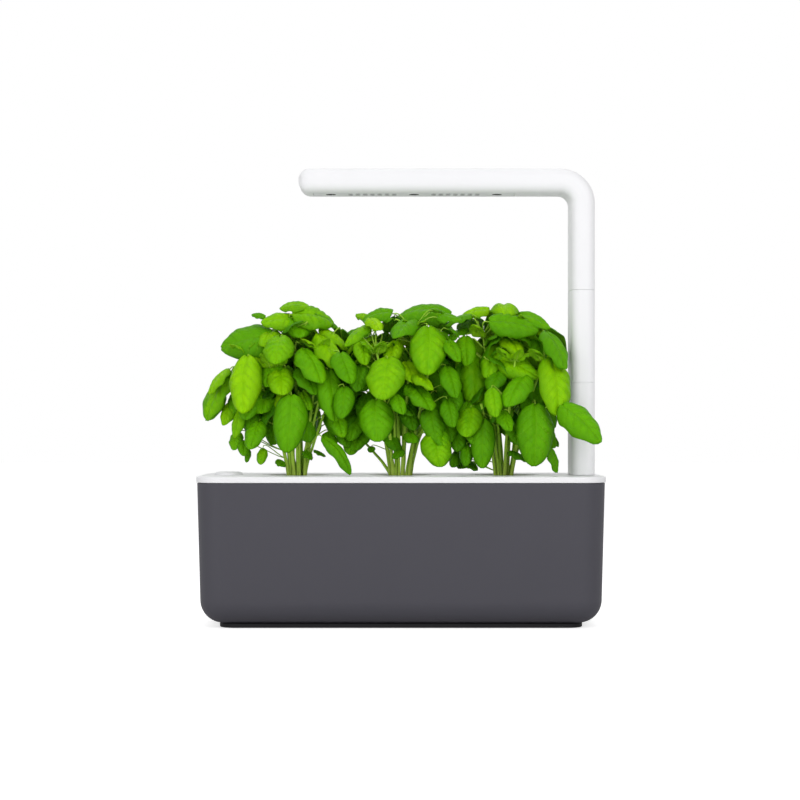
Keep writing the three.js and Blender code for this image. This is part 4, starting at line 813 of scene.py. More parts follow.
def add_float():
    box = Box("float_bulb")
    x, radius, stem, soft = box.x, box.half_x, 2.0, 2.0
    rim = rounding(soft, box.bottom, True) + rounding(soft / 2, box.top, False)
    bore = stem + seat_gap
    profile = [(bore, box.bottom)] + [(radius - inset, z) for inset, z in rim] + [(bore, box.top)]
    foam = lathe(profile, x, closed=True)
    add_piece("foam_float", foam, float_foam, "float", "foam", "float_bulb")

    under = box.top + seat_gap
    box = Box("float_cap")
    radius, flat, steps, bevel, soft = box.half_x, 7.0, 8, 0.4, 0.3
    brow = lid_top + 0.5
    profile = [(stem - bevel, box.bottom), (stem, box.bottom + bevel), (stem, under)]
    profile += [(radius - soft, under), (radius, under + soft)]
    for i in range(steps + 1):
        angle = QUARTER * i / steps
        reach = flat + (radius - flat) * math.cos(angle)
        profile.append((reach, brow + (box.top - brow) * math.sin(angle)))
    cap = lathe(profile, x, sides=SMOOTH)
    add_piece("float_button", cap, lid_white, "float", "white_plastic", "float_cap")

    box = Box("float_guide")
    wall, floor_height, drain, soft = 1.3, 1.4, 8.0, 0.6
    slot_half, from_floor, from_top = 3, 8, 13
    low, high, outer = box.bottom, box.top, box.half_x
    inner, floor = outer - wall, low + floor_height
    profile = [(drain, low), (outer - soft, low), (outer, low + soft), (outer, high)]
    profile += [(inner, high), (inner, floor), (drain, floor)]
    guide = make("float_tube", lathe(profile, x, closed=True), lid_white)
    slot_bottom = floor + from_floor
    half = (high - from_top - slot_bottom) / 2
    for turn in (0, QUARTER):
        cut(guide, slot_bar(slot_half, half, outer, x, slot_bottom + half, turn, 8))
    dress(guide, "lid", "white_plastic", "float_guide")


# Column


def add_spigot(piece, base):
    """Joins a spigot under a tube of the column and opens it for the lead."""
    low = base - spigot_length
    stations = rounding(spigot_edge, low, True) + [(0, base + SINK)]
    outer = section(shell_wall + lift_play / 2)
    join(piece, bridge(rounded_rings(*outer, stations, column_x)))
    inner = [size - spigot_wall for size in outer]
    cut(piece, prism(*inner, low - OVERRUN, base + shoulder + OVERRUN, column_x))


def add_extension(which):
    node = f"extension_{which}"
    box = Box(node)
    seam_close = 0.2  # the photograph hardly shows the seams between the tubes
    base, top = box.bottom + spigot_length, box.top + seam_close
    piece = make(f"tube_{which}", prism(*column, base, top, column_x, edge=tube_edge), lamp_white)
    cut(piece, prism(*socket, base + shoulder, top + OVERRUN, column_x))
    add_spigot(piece, base)
    dress(piece, node, "lamp_white", node)


def smooth_path(points, steps):
    """A centripetal curve through points."""
    points = [Vector(p) for p in points]
    padded = [2 * points[0] - points[1]] + points + [2 * points[-1] - points[-2]]
    path = []
    for p0, p1, p2, p3 in zip(padded, padded[1:], padded[2:], padded[3:]):
        gaps = [max((b - a).length ** 0.5, 1e-6) for a, b in ((p0, p1), (p1, p2), (p2, p3))]
        out = (p1 - p0) / gaps[0] - (p2 - p0) / (gaps[0] + gaps[1]) + (p2 - p1) / gaps[1]
        into = (p2 - p1) / gaps[1] - (p3 - p1) / (gaps[1] + gaps[2]) + (p3 - p2) / gaps[2]
        out, into = out * gaps[1], into * gaps[1]
        for i in range(steps):
            t = i / steps
            start = p1 * (2 * t**3 - 3 * t**2 + 1) + out * (t**3 - 2 * t**2 + t)
            path.append(start + p2 * (3 * t**2 - 2 * t**3) + into * (t**3 - t**2))
    return path + [points[-1]]


def tube_shape(points, radii, sides=10):
    """A round tube through points, with a radius at each."""
    points = [Vector(p) for p in points]
    along = [(b - a).normalized() for a, b in zip(points, points[1:])]
    along.append(along[-1])
    across = along[0].orthogonal().normalized()
    rings = []
    for i, (point, radius) in enumerate(zip(points, radii)):
        way = (along[i] + along[max(i - 1, 0)]).normalized()
        across = (across - way * across.dot(way)).normalized()
        other = way.cross(across)
        ring = []
        for j in range(sides):
            angle = 2 * math.pi * j / sides
            ring.append(tuple(point + across * radius * math.cos(angle) + other * radius * math.sin(angle)))
        rings.append(ring)
    return bridge(rings)


def add_lead(name, route, steps, body, node):
    """A round lead through the points of its route."""
    path = smooth_path(route, steps)
    tube = tube_shape(path, [lead_radius] * len(path))
    add_piece(name, tube, dark_plastic, body, "dark_plastic", node, organic=True)


def add_column_lead(which):
    body = f"extension_{which}"
    box, sag = Box(f"{body}_lead"), 2.4
    rise = box.top - box.bottom
    bends = ((0, 0), (sag, 0.35), (-sag, 0.65))
    route = [(column_x, y, box.bottom + share * rise) for y, share in bends]
    add_lead(f"lead_{which}", route + [(column_x, 0, box.top)], 10, body, f"{body}_lead")


# Lamp

arm = Box("lamp_arm")
lamp_base = arm.bottom + spigot_length
head_z = arm.top - column_half_x
bend_radius = 26.0 - column_half_x  # of the centre line
head_end_radius, foot_edge = 8.4, 0.35
panel = Box("lamp_cover")
panel_corner, panel_edge, panel_height = 5, 0.3, 1.6
well_x = [Box(f"cover_screw_{i}").x for i in (1, 2, 3)]
well_radius, well_wall, well_ceiling = 3.5, 1.2, 1.4
screw_hole = 1.4


def bend_point(turn):
    """Place of the lamp's centre line after a turn of the bend, from 0 on the leg."""
    x = column_x - bend_radius * (1 - math.cos(turn))
    return x, head_z - bend_radius * (1 - math.sin(turn))


def arm_shape(inset, base):
    """The leg, the bend and the head out to its rounded end, shrunk by an inset."""
    stations = [(column_x, base + z, 0, more) for more, z in rounding(foot_edge, 0, True)]
    bend_steps, end_steps = 20, 14
    for i in range(bend_steps + 1):
        turn = QUARTER * i / bend_steps
        stations.append((*bend_point(turn), turn, 0))
    radius = head_end_radius - inset
    for i in range(end_steps + 1):
        angle = QUARTER * i / end_steps
        x = arm.low.x + inset + radius * (1 - math.sin(angle))
        stations.append((x, head_z, QUARTER, radius * (1 - math.cos(angle))))
    rings = []
    for x, z, turn, more in stations:
        ring = inset_outline(*section(inset), more)
        rings.append([(x + px * math.cos(turn), py, z + px * math.sin(turn)) for px, py in ring])
    return bridge(rings)


def add_lamp_arm():
    piece = make("lamp_shell", arm_shape(0, lamp_base), lamp_white)
    cut(piece, arm_shape(shell_wall, lamp_base + shoulder))
    add_spigot(piece, lamp_base)
    roof, boss_bottom = arm.top - shell_wall + SINK, panel.top + seat_gap
    boss, hole_depth = 3.4, 5
    for x in well_x:
        join(piece, rod(boss, boss_bottom, roof, x))
        cut(piece, rod(screw_hole, panel.top - OVERRUN, boss_bottom + hole_depth, x, 0, SMALL))
    low, high = panel.bottom - OVERRUN, panel.bottom + shell_wall + OVERRUN
    window = [size + seat_gap for size in (panel.half_x, panel.half_y, panel_corner)]
    cut(piece, prism(*window, low, high, panel.x))
    dress(piece, "lamp", "lamp_white", "lamp_arm")


def light_places():
    """Middles of the lights: two banks of two rows, between the screw wells."""
    pitch, row_pitch, per_row = 5.5, 6.5, 7
    places = []
    for a, b in zip(well_x, well_x[1:]):
        for i in range(per_row):
            x = (a + b) / 2 + (i - (per_row - 1) / 2) * pitch
            places += [(x, -row_pitch / 2), (x, row_pitch / 2)]
    return places


def flared_hole(radius, flare, low, high):
    """Profile of a cutter for a hole that opens wider at its lower end."""
    return [(radius + flare + OVERRUN, low - OVERRUN), (radius, low + flare), (radius, high)]


def add_lamp_cover():
    bottom, top = panel.bottom, panel.bottom + panel_height
    size = (panel.half_x, panel.half_y, panel_corner, bottom, top)
    finishes = (cover_grey, dark_plastic, hole_shade_grey)
    cover = make("lamp_panel", prism(*size, panel.x, edge=panel_edge), *finishes)
    lip, ceiling = 0.4, panel.top - well_ceiling
    for x in well_x:
        join(cover, rod(well_radius + well_wall, top - SINK, panel.top, x))
        cut(cover, lathe(flared_hole(well_radius, lip, bottom, ceiling), x))
        cut(cover, rod(screw_hole, ceiling - OVERRUN, panel.top + OVERRUN, x, 0, SMALL))
    hole, flare = 1.6, 0.35
    cutter = flared_hole(hole, flare, bottom, top + OVERRUN)
    cut(cover, gathered(*[lathe(cutter, x, y, 20) for x, y in light_places()]))
    spots = [vertex.co for vertex in cover.data.vertices]

    def within(face, places, radius):
        return any(
            all(math.hypot(spots[i].x - x, spots[i].y - y) < radius for i in face.vertices)
            for x, y in places
        )

    wells = [(x, 0) for x in well_x]
    for face in cover.data.polygons:
        face.material_index = 0
        # Painted shade: the walls of the light holes get the grey, as if the recesses lay in shade.
        if within(face, light_places(), hole + flare + SINK):
            face.material_index = 2
        # Painted shade: the walls of the screw wells get the dark plastic, as if the recesses lay in shade.
        elif within(face, wells, well_radius + SINK) and face.center.z > bottom + lip / 2:
            face.material_index = 1
    dress(cover, "lamp", "cover_grey", "lamp_cover")


def add_led_board():
    box = Box("led_board")
    thickness, corner, half, light_corner = 1.4, 1, 1.3, 0.25
    bottom, top = box.top - thickness, box.top
    plate = prism(box.half_x, box.half_y, corner, bottom, top, box.x, steps=4)
    board = make("light_board", plate, white_board, yellow_phosphor)
    opening = well_radius + well_wall + lift_play
    cut(board, *[rod(opening, bottom - OVERRUN, top + OVERRUN, x) for x in well_x])
    for x, y in light_places():
        join(board, prism(half, half, light_corner, box.bottom, bottom + SINK, x, y, steps=2))
    for face in board.data.polygons:
        centre = face.center
        near = min(max(abs(centre.x - x), abs(centre.y - y)) for x, y in light_places())
        face.material_index = 1 if centre.z < box.bottom + 0.05 and near < half else 0
    dress(board, "lamp", "board", "led_board")


def add_lamp_lead():
    """The lamp's lead: up the leg, round the bend and down to the light board."""
    box = Box("lamp_lead")
    landing, board_end = Box("heat_sink").bottom + lead_radius + 0.05, Box("led_board").high.x
    route = [(column_x, 0, box.bottom), (column_x, 0, lamp_base + shoulder)]
    for x, z in (bend_point(QUARTER * share) for share in (0, 0.5, 1)):
        route.append((x, 0, z))
    route += [(board_end + column_half_x, 0, landing + seat_gap)]
    route += [(board_end, 0, landing), (box.low.x, 0, landing)]
    add_lead("lamp_cable", route, 6, "lamp", "lamp_lead")


# Plants

canopy_half_x, canopy_half_y, canopy_height = 72.0, 54.0, 131.6
leaf_length, leaf_width, leaf_thickness = 48.5, 33.5, 0.35
stem_radius, young_radius, petiole_radius, stem_spread = 1.5, 0.95, 0.65, 8.5
petiole_steps, rib_steps, rib_drop = 7, 7, 0.6
degree = math.pi / 180

# A leaf: its middle in percents of the canopy (across, in depth, up from the lid), its length and
# width in percents of the largest leaf, its tip's heading, its slope and its curl in degrees, its
# tone from 0, deep green, to 100, bright, which is partly its own green and partly painted light
# and shade, and its roll in degrees where it has one.
leaf_table = {
    "left": (
        (-58, -50, 53, 100, 100, -110, -72, 35, 80), (-55, -15, 78, 92, 112, 170, -18, 40, 35, 58),
        (-87, -5, 46.5, 90, 80, -170, -68, 30, 60, 25), (-4, -62, 30, 94, 92, -85, -80, 20, 40),
        (-20, -55, 73, 62, 86, -100, -52, 45, 60), (-5, 0, 98.5, 50, 60, 170, -5, 50, 65, 25),
        (18, -10, 92.5, 74, 92, 15, -14, 50, 60, -42), (20, -50, 64, 76, 90, -50, -50, 30, 50),
        (38, -45, 46, 88, 80, -65, -76, 25, 45), (-64, -25, 31, 56, 48, -130, -68, 40, 60),
        (-44.5, -35, 24, 54, 60, -110, -60, 35, 45), (46, -68, 13.8, 80, 50, -25, -52, 55, 30, -20),
        (-18, -15, 89.5, 62, 68, 200, -10, 45, 70, 45), (-50, 40, 62, 85, 85, 140, -40, 40, 80),
        (-12, 55, 76, 80, 85, 95, -40, 40, 40), (18, 45, 62, 75, 80, 60, -50, 35, 40),
        (-30, 60, 42, 85, 85, 100, -70, 25, 75), (-62, 30, 36, 70, 70, 160, -65, 30, 30),
        (-86, -10, 55, 55, 60, -150, -50, 30, 75), (-14, -45, 55, 60, 75, -75, -50, 35, 70),
        (36, -30, 73, 75, 85, -40, -50, 30, 75, -10), (-36, -20, 45, 66, 74, -95, -45, 30, 50),
        (8, 50, 33, 70, 75, 80, -70, 25, 20), (14, -40, 55, 60, 70, -45, -50, 30, 25),
        (-49, -15, 34, 55, 60, -100, -55, 30, 20), (-27, -5, 26, 50, 50, -100, -70, 20, 35),
        (0, -15, 87.5, 60, 80, -80, -45, 40, 50), (-35, 10, 68, 80, 85, 150, -30, 35, 25),
        (12, 15, 72, 75, 80, 60, -35, 35, 30), (-10, 15, 50, 80, 85, -90, -60, 25, 12),
        (36, 9, 50, 62, 62, -90, -65, 25, 15), (42, 30, 68, 60, 60, 80, -55, 30, 30),
        (38, -10, 32, 55, 60, -80, -65, 25, 20), (-45, 15, 45, 70, 75, 160, -60, 25, 15),
        (-90, 5, 42, 62, 62, -120, -62, 30, 55, 20), (-37, -28, 11, 28, 30, -100, -72, 20, 60),
        (-16, -25, 7.5, 24, 30, -60, -30, 20, 20), (-41, -5, 92.5, 24, 28, 170, 10, 40, 30, 30),
        (10, -30, 43, 36, 40, -60, -60, 30, 55), (-28, 10, 38, 30, 30, -90, -60, 20, 95),
        (-53, -10, 11, 22, 20, -110, -80, 20, 30), (24, -20, 13, 22, 26, -30, -30, 20, 10),
        (12, -25, 12, 24, 30, -60, -40, 20, 30), (52, -55, 62, 60, 70, -60, -60, 30, 40),
        (50, -60, 42, 55, 60, -90, -70, 25, 30), (50, 50, 76, 60, 60, 60, -40, 30, 30),
        (30, 10, 90.5, 60, 66, 20, -30, 35, 45), (40, -5, 80, 60, 66, -20, -40, 35, 80),
        (-30, -30, 60, 60, 66, -110, -55, 30, 50), (-62, -20, 62, 60, 66, -140, -50, 30, 85),
        (-66, -5, 45, 60, 66, -120, -60, 30, 35), (-12, -30, 42, 50, 60, -80, -60, 30, 85),
        (50, -10, 24, 50, 55, -60, -60, 30, 20), (44, -30, 30, 50, 55, -70, -60, 30, 50),
        (34, -20, 20, 36, 42, -80, -60, 30, 30), (-66, -10, 20, 34, 38, -110, -60, 30, 50),
        (-56, -20, 16, 30, 34, -90, -60, 30, 40), (-50, -30, 40, 50, 55, -100, -60, 30, 40),
        (-75, -10, 36, 45, 50, -120, -60, 30, 70), (5, -20, 30, 40, 45, -60, -60, 30, 30),
        (-30, -20, 80, 50, 60, -100, -40, 35, 70),
    ),
    "middle": (
        (24, -10, 95.5, 92, 100, 175, -4, 55, 40, 30), (-26, 0, 93.5, 54, 72, 160, -12, 40, 45, 35),
        (-52, 52, 82, 66, 78, 160, -22, 35, 35, 40), (2, -35, 86.5, 74, 86, -120, -28, 45, 40),
        (-17, -75, 56, 76, 97, -100, -66, 35, 65), (-27, -62, 32, 72, 97, -95, -72, 25, 45),
        (31, -60, 72, 86, 95, -80, -70, 35, 60), (22, -50, 46, 60, 80, -50, -48, 30, 45),
        (33, -42, 29, 58, 62, -80, -75, 20, 25), (37, -50, 15.5, 60, 80, -80, -70, 25, 60),
        (50, -56, 90.5, 42, 50, -20, -12, 40, 40, -20), (-50, 36, 53, 52, 60, -110, -60, 20, 15),
        (-50, 50, 24, 44, 44, 150, -35, 25, 35, 30), (-20, 50, 76, 80, 85, 110, -40, 40, 30),
        (20, 55, 64, 82, 85, 70, -50, 40, 50), (5, 62, 42, 85, 85, 90, -70, 25, 20),
        (-35, 60, 40, 70, 75, 130, -65, 25, 20), (-26, -25, 87.5, 44, 52, -60, -30, 30, 95),
        (-37, -34, 71, 48, 55, -60, -68, 20, 65), (10, 42, 28, 60, 65, 60, -60, 25, 20),
        (14, 30, 90.5, 55, 65, 80, -12, 40, 40), (-42, -10, 58, 60, 62, -100, -60, 25, 25),
        (-42, 20, 40, 55, 60, -80, -65, 25, 10), (-45, -10, 22, 50, 60, -110, -55, 30, 30),
        (42, 15, 55, 62, 62, -80, -60, 25, 10), (42, -15, 40, 55, 60, -70, -60, 25, 20),
        (42, 30, 72, 55, 60, 60, -45, 30, 30), (24, -55, 55, 50, 60, -40, -35, 40, 75),
        (0, 10, 66, 80, 85, 100, -40, 30, 20), (5, 0, 45, 80, 85, -90, -60, 25, 10),
        (-20, 20, 55, 75, 80, 140, -50, 30, 15), (-8, -10, 20, 45, 50, -60, -50, 30, 15),
        (-41, 42, 93, 27, 34, 150, 10, 20, 75, 30), (0, -74, 41, 42, 50, -60, -50, 20, 45),
        (11, -30, 22, 28, 44, -80, -40, 20, 30), (-60, -10, 31, 50, 50, -150, -35, 30, 10),
        (-50, -10, 19, 45, 50, -90, -60, 25, 40), (7, 10, 79, 40, 40, -60, -40, 30, 95),
        (46, -40, 92.5, 30, 34, -40, -30, 60, 40, 20), (36, -42, 94.5, 26, 30, 60, -10, 50, 45),
        (56, -42, 82, 26, 32, 0, -40, 60, 30), (47, -30, 78, 34, 40, -60, -60, 50, 40),
        (40, -20, 66, 40, 42, -80, -60, 30, 15), (-4, -30, 13, 30, 36, -120, -30, 30, 15),
        (-31, -10, 15, 16, 20, -90, -40, 20, 10), (-56, 10, 52, 60, 65, -110, -60, 25, 25),
        (-54, 15, 74, 60, 65, -130, -40, 30, 30), (-58, 10, 34, 50, 55, -100, -65, 25, 15),
        (54, -55, 54, 60, 62, -60, -60, 25, 35), (52, -55, 36, 50, 55, -70, -65, 25, 25),
        (56, -50, 72, 50, 55, -50, -50, 30, 50), (-10, 10, 88.5, 60, 70, 100, -20, 40, 40),
        (-48, -20, 82, 62, 66, -150, -40, 35, 65), (-44, -40, 56, 50, 56, -100, -60, 30, 20),
        (10, -45, 60, 50, 60, -70, -45, 30, 85), (-30, -10, 44, 50, 56, -110, -60, 30, 30),
        (-50, -20, 28, 50, 58, -110, -60, 30, 30), (-38, -30, 40, 50, 56, -100, -60, 30, 15),
        (50, -20, 28, 55, 60, -70, -60, 30, 20), (42, -40, 24, 50, 60, -60, -60, 30, 35),
        (56, -30, 44, 50, 58, -70, -60, 30, 15), (10, -20, 34, 50, 60, -80, -60, 30, 10),
        (44, 10, 88.5, 60, 70, 40, -25, 35, 40), (-10, -30, 72, 50, 60, -110, -50, 35, 80),
    ),
    "right": (
        (0, -10, 97.5, 56, 80, -90, -25, 60, 75), (10, -35, 87.5, 84, 88, 5, -12, 35, 40, -46),
        (-30, 8, 95, 48, 55, 180, -15, 35, 80, 30), (32, -15, 90.5, 62, 60, -20, -24, 40, 50, -30),
        (55, -60, 73, 80, 76, -50, -52, 35, 35), (-33, -4, 54, 96, 78, -100, -76, 25, 55),
        (8, -72, 50, 74, 86, -120, -45, 40, 45), (54, -72, 51.5, 100, 90, -65, -70, 30, 72),
        (76, -103, 32, 92, 95, -30, -42, 35, 45, -35), (31, -76, 23.5, 100, 96, -85, -82, 20, 35),
        (-24, -42, 18.5, 80, 64, -95, -80, 15, 30), (-37, -40, 31, 55, 66, -95, -60, 25, 60),
        (50, -62, 10, 46, 40, -40, -72, 40, 30), (-15, 50, 78, 78, 80, 110, -40, 40, 55),
        (-36, 55, 60, 75, 75, 130, -50, 35, 30), (0, 55, 50, 75, 75, 90, -65, 30, 10),
        (20, 15, 74, 60, 62, 40, -45, 35, 55), (13, -40, 63, 80, 75, -30, -24, 30, 65, -45),
        (-11, -80, 42, 52, 54, -70, -64, 25, 60), (-20, 60, 34, 75, 75, 100, -70, 25, 15),
        (22, 2, 40, 60, 65, 10, -65, 25, 45), (33, 20, 88.5, 60, 60, 10, -20, 40, 55, -30),
        (38, -20, 74, 45, 50, -60, -60, 30, 25), (-42, -20, 72, 55, 55, -100, -65, 30, 55),
        (-14, -20, 67, 70, 65, -110, -60, 30, 60), (-39, 19, 50, 60, 60, -90, -60, 25, 10),
        (-42, -25, 36, 50, 55, -110, -55, 30, 35), (-42, 30, 66, 60, 60, 100, -45, 30, 25),
        (33, 0, 56, 55, 55, -80, -60, 25, 15), (46, -10, 36, 55, 55, -70, -60, 25, 15),
        (0, 10, 55, 80, 85, -90, -60, 25, 12), (-5, 20, 72, 80, 80, 100, -35, 30, 25),
        (10, -10, 28, 60, 60, -80, -60, 25, 10), (-37, 10, 6.5, 30, 36, -110, -20, 25, 35),
        (-54, 55, 46, 44, 42, 160, -60, 20, 10), (1, -72, 32, 44, 52, -60, -50, 20, 45),
        (14, -30, 12, 36, 40, -40, -30, 30, 10), (-43, 0, 7, 30, 34, -110, -30, 25, 25),
        (-33, -10, 6, 30, 34, -60, -30, 25, 25), (-45, 10, 18, 45, 45, -100, -50, 20, 10),
        (55, 0, 20, 24, 24, -40, -60, 20, 20), (-56, 15, 42, 55, 60, -100, -65, 25, 15),
        (-54, 15, 62, 60, 62, -110, -60, 25, 25), (-52, 10, 82, 50, 55, -150, -30, 35, 40),
        (30, -30, 50, 60, 65, -60, -55, 30, 35), (-50, -10, 90.5, 50, 60, -160, -25, 35, 40),
        (10, -20, 76, 60, 66, -60, -35, 35, 85), (30, -45, 38, 50, 60, -60, -60, 30, 25),
        (-10, -35, 56, 50, 60, -110, -50, 30, 20), (50, -35, 60, 50, 56, -60, -60, 30, 90),
        (-50, -20, 22, 50, 50, -100, -60, 30, 15), (-40, -30, 12, 40, 40, -90, -60, 30, 20),
        (-52, -10, 10, 36, 40, -110, -50, 30, 15), (-30, -30, 26, 50, 56, -90, -60, 30, 35),
        (12, -30, 24, 45, 50, -60, -60, 30, 30), (46, -40, 24, 50, 50, -50, -60, 30, 40),
        (-36, 20, 88.5, 70, 72, 100, -20, 35, 40), (20, 30, 92.5, 60, 70, 60, -20, 35, 50),
        (45, -10, 82, 50, 60, -30, -35, 35, 80),
    ),
}

# A stem: its foot in shares of the pod's opening, its top in shares of the canopy.
stem_table = {
    "left": (
        (-0.8, -0.2, -0.52, -0.1, 0.7), (-0.3, -0.5, -0.25, -0.25, 0.62), (0, 0.2, -0.05, 0.05, 0.86),
        (0.6, -0.4, 0.24, -0.25, 0.72), (0.3, 0.6, 0, 0.38, 0.66),
    ),
    "middle": (
        (-0.7, -0.3, -0.25, -0.35, 0.7), (0.1, -0.2, 0.12, -0.15, 0.84), (0.7, -0.3, 0.32, -0.35, 0.66),
        (-0.9, 0.3, -0.42, 0.36, 0.72), (0.2, 0.7, 0.05, 0.4, 0.7), (-0.8, 0.6, -0.46, 0.4, 0.22),
    ),
    "right": (
        (-0.6, -0.1, -0.22, 0, 0.8), (0, -0.6, 0.1, -0.45, 0.66), (0.6, -0.4, 0.4, -0.5, 0.66),
        (-0.1, 0.6, -0.1, 0.38, 0.7), (0.3, 0.1, 0.14, -0.1, 0.84),
    ),
}


def canopy_place(middle_x, x, y, z):
    """A place in a plant from shares of the canopy."""
    return middle_x + x * canopy_half_x, y * canopy_half_y, lid_top + z * canopy_height


def from_percents(x, y, z, length, width, heading, slope, curl, tone, roll=0):
    """A row of the table with its percents turned to shares."""
    shares = (number / 100 for number in (x, y, z, length, width))
    return (*shares, heading, slope, curl, tone / 100, roll)


class Leaf:
    """The place, directions and sizes of a leaf: tip is along it and face is its upper side."""

    def __init__(self, middle_x, x, y, z, length, width, heading, slope, curl, tone, roll=0):
        self.middle = np.array(canopy_place(middle_x, x, y, z))
        a, p, r = heading * degree, slope * degree, roll * degree
        self.tip = np.array((math.cos(p) * math.cos(a), math.cos(p) * math.sin(a), math.sin(p)))
        up = np.array((-math.sin(p) * math.cos(a), -math.sin(p) * math.sin(a), math.cos(p)))
        left = np.cross(up, self.tip)
        self.face = up * math.cos(r) + left * math.sin(r)
        self.side = left * math.cos(r) - up * math.sin(r)
        self.length, self.width = length * leaf_length, width * leaf_width
        self.curl = (curl + 12) * degree
        self.tone, self.sweep = tone, 0.0

    def sink(self, share):
        """How deep the midrib lies under the blade."""
        return 0.055 * self.width * (1 - 0.6 * share)

    def bend(self, share):
        """How far the midrib swings to the side."""
        return self.sweep * (1 - np.cos(math.pi * (share - 0.15))) * 0.5

    def points(self, share, x, z):
        """Points at shares of the curled length, x to the side of its arc and z above it."""
        share, x, z = (np.asarray(value)[..., None] for value in (share, x, z))
        turn, radius = self.curl * (share - 0.5), self.length / self.curl
        sine, cosine = np.sin(turn), np.cos(turn)
        arc = self.middle + self.tip * radius * sine - self.face * radius * (1 - cosine)
        return arc + self.side * x + (self.face * cosine + self.tip * sine) * z

    def midrib(self, share, drop=0.0):
        """A point of the midrib, from 0 at the stalk to 1 at the tip, or that far below it."""
        return self.points(share, self.bend(share), -self.sink(share) - drop)


def blade_share(share):
    """How wide a leaf is at a share of its length, as a share of its full width."""
    return np.sin(math.pi * share**0.78) ** 0.46


def leaf_sheet(leaf, chance, along, across):
    """Upper side of a leaf as a grid: drooping edges, blade swelled between the veins, a
    sunk midrib, waved edges, and a little twist and sideways sweep of its own."""
    shares = np.linspace(0.012, 0.994, along + 1)
    reach = np.linspace(-1, 1, across + 1)
    s, t = np.meshgrid(shares, np.sign(reach) * np.abs(reach) ** 1.15, indexing="ij")
    side = np.abs(t)
    half = leaf.width / 2 * blade_share(s)
    droop = chance.uniform(0.7, 1.15)
    x = half * np.sin(droop * t) / droop
    z = -half * (1 - np.cos(droop * t)) / droop
    phase = (s - vein_sweep * side**vein_curve) * vein_pairs
    room = 4 * side * (1 - side) * 0.75 + 0.25 * side
    swell = chance.uniform(0.045, 0.07) * leaf.width
    z += swell * np.abs(np.sin(math.pi * phase)) ** 0.7 * room * np.sin(math.pi * s) ** 0.4
    z -= leaf.sink(s) * np.exp(-((t / 0.2) ** 2))
    start = chance.uniform(0, 2 * math.pi)
    wave = np.sin(2 * math.pi * 2.4 * s + start + np.where(t > 0, 1.9, 0))
    z += chance.uniform(0.03, 0.06) * leaf.width * wave * side**3
    leaf.sweep = chance.uniform(-0.09, 0.09) * leaf.length
    x += leaf.bend(s)
    twist = chance.uniform(-0.3, 0.3) * (s - 0.5)
    x, z = x * np.cos(twist) - z * np.sin(twist), x * np.sin(twist) + z * np.cos(twist)
    return leaf.points(s, x, z), s, t


def leaf_shape(leaf, chance, along, across):
    """A leaf as a thin closed shell, with what its material reads at each point."""
    top, s, t = leaf_sheet(leaf, chance, along, across)
    normal = np.cross(np.gradient(top, axis=0), np.gradient(top, axis=1))
    normal /= np.linalg.norm(normal, axis=2, keepdims=True) + 1e-9
    thin = leaf_thickness * np.clip((1 - np.abs(t)) * 6, 0.25, 1)[..., None]
    points = np.concatenate((top.reshape(-1, 3), (top - normal * thin).reshape(-1, 3)))
    columns = across + 1
    count = (along + 1) * columns
    faces = []
    for i in range(along):
        for j in range(across):
            a, b = i * columns + j, (i + 1) * columns + j
            faces.append((a, b, b + 1, a + 1))
            faces.append((count + a + 1, count + b + 1, count + b, count + a))
    border = [i * columns for i in range(along)]
    border += [along * columns + j for j in range(across)]
    border += [i * columns + across for i in range(along, 0, -1)]
    border += range(across, 0, -1)
    for a, b in zip(border, border[1:] + border[:1]):
        faces.append((b, a, count + a, count + b))
    blade = np.stack((s, t, np.full_like(s, chance.random())), axis=-1).reshape(-1, 3)
    shade = np.zeros((2 * count, 3))
    shade[:, 0] = leaf.tone
    shade[count:, 1] = 1
    return points, faces, np.concatenate((blade, blade)), shade


def stem_path(row, middle_x, steps=14):
    """A stem rises straight from the soil, leans out to its top and wavers a little."""
    foot_x, foot_y, top_x, top_y, top_z = row
    low = Vector((middle_x + foot_x * stem_spread, foot_y * stem_spread, lid_top - 3.2))
    top = Vector(canopy_place(middle_x, top_x, top_y, top_z))
    rise = 0.35
    lean = (top.x - low.x) * rise**2, (top.y - low.y) * rise**2, (top.z - low.z) * rise
    knee = low + Vector(lean)
    path = []
    for i in range(steps + 1):
        t = i / steps
        point = low * (1 - t) ** 2 + knee * 2 * t * (1 - t) + top * t**2
        seed = Vector((low.x, low.y, 4 * t))
        waver = Vector((noise.noise(seed), noise.noise(seed + Vector((9, 9, 0))), 0))
        path.append(point + 0.9 * math.sin(math.pi * t) * waver)
    return path


def stalk_root(base, stems):
    """The point on the stems that a leaf's stalk springs from: near its base, a little below."""
    drop_share = 0.35

    def miss(spot):
        reach = math.hypot(spot.x - base[0], spot.y - base[1])
        return abs(base[2] - spot.z - reach * drop_share) + reach

    return min((spot for path in stems for spot in path), key=miss)


def petiole_path(root, leaf):
    """From the stem to the blade, and on as the rib under it."""
    base = Vector(leaf.midrib(0.0, 0.3))
    gap = (base - root).length
    out = Vector((base.x - root.x, base.y - root.y, 0.6 * abs(base.z - root.z) + 2)).normalized()
    first = root + out * gap * 0.4
    second = base - Vector(leaf.tip).normalized() * min(gap * 0.4, 9)
    path = []
    for i in range(petiole_steps):
        t = i / petiole_steps
        near = root * (1 - t) ** 3 + first * 3 * t * (1 - t) ** 2
        path.append(near + second * 3 * t**2 * (1 - t) + base * t**3)
    return path + [Vector(leaf.midrib(0.8 * i / rib_steps, rib_drop)) for i in range(rib_steps + 1)]


def stalk_parts(path, radii, low_rise=0, sides=8):
    """A stalk's tube, with its rise and the turn round it for the material."""
    blade = []
    for i in range(len(path)):
        rise = low_rise + (1 - low_rise) * i / (len(path) - 1)
        blade += [(rise, j / sides, 0) for j in range(sides)]
    return (*tube_shape(path, radii, sides), blade)


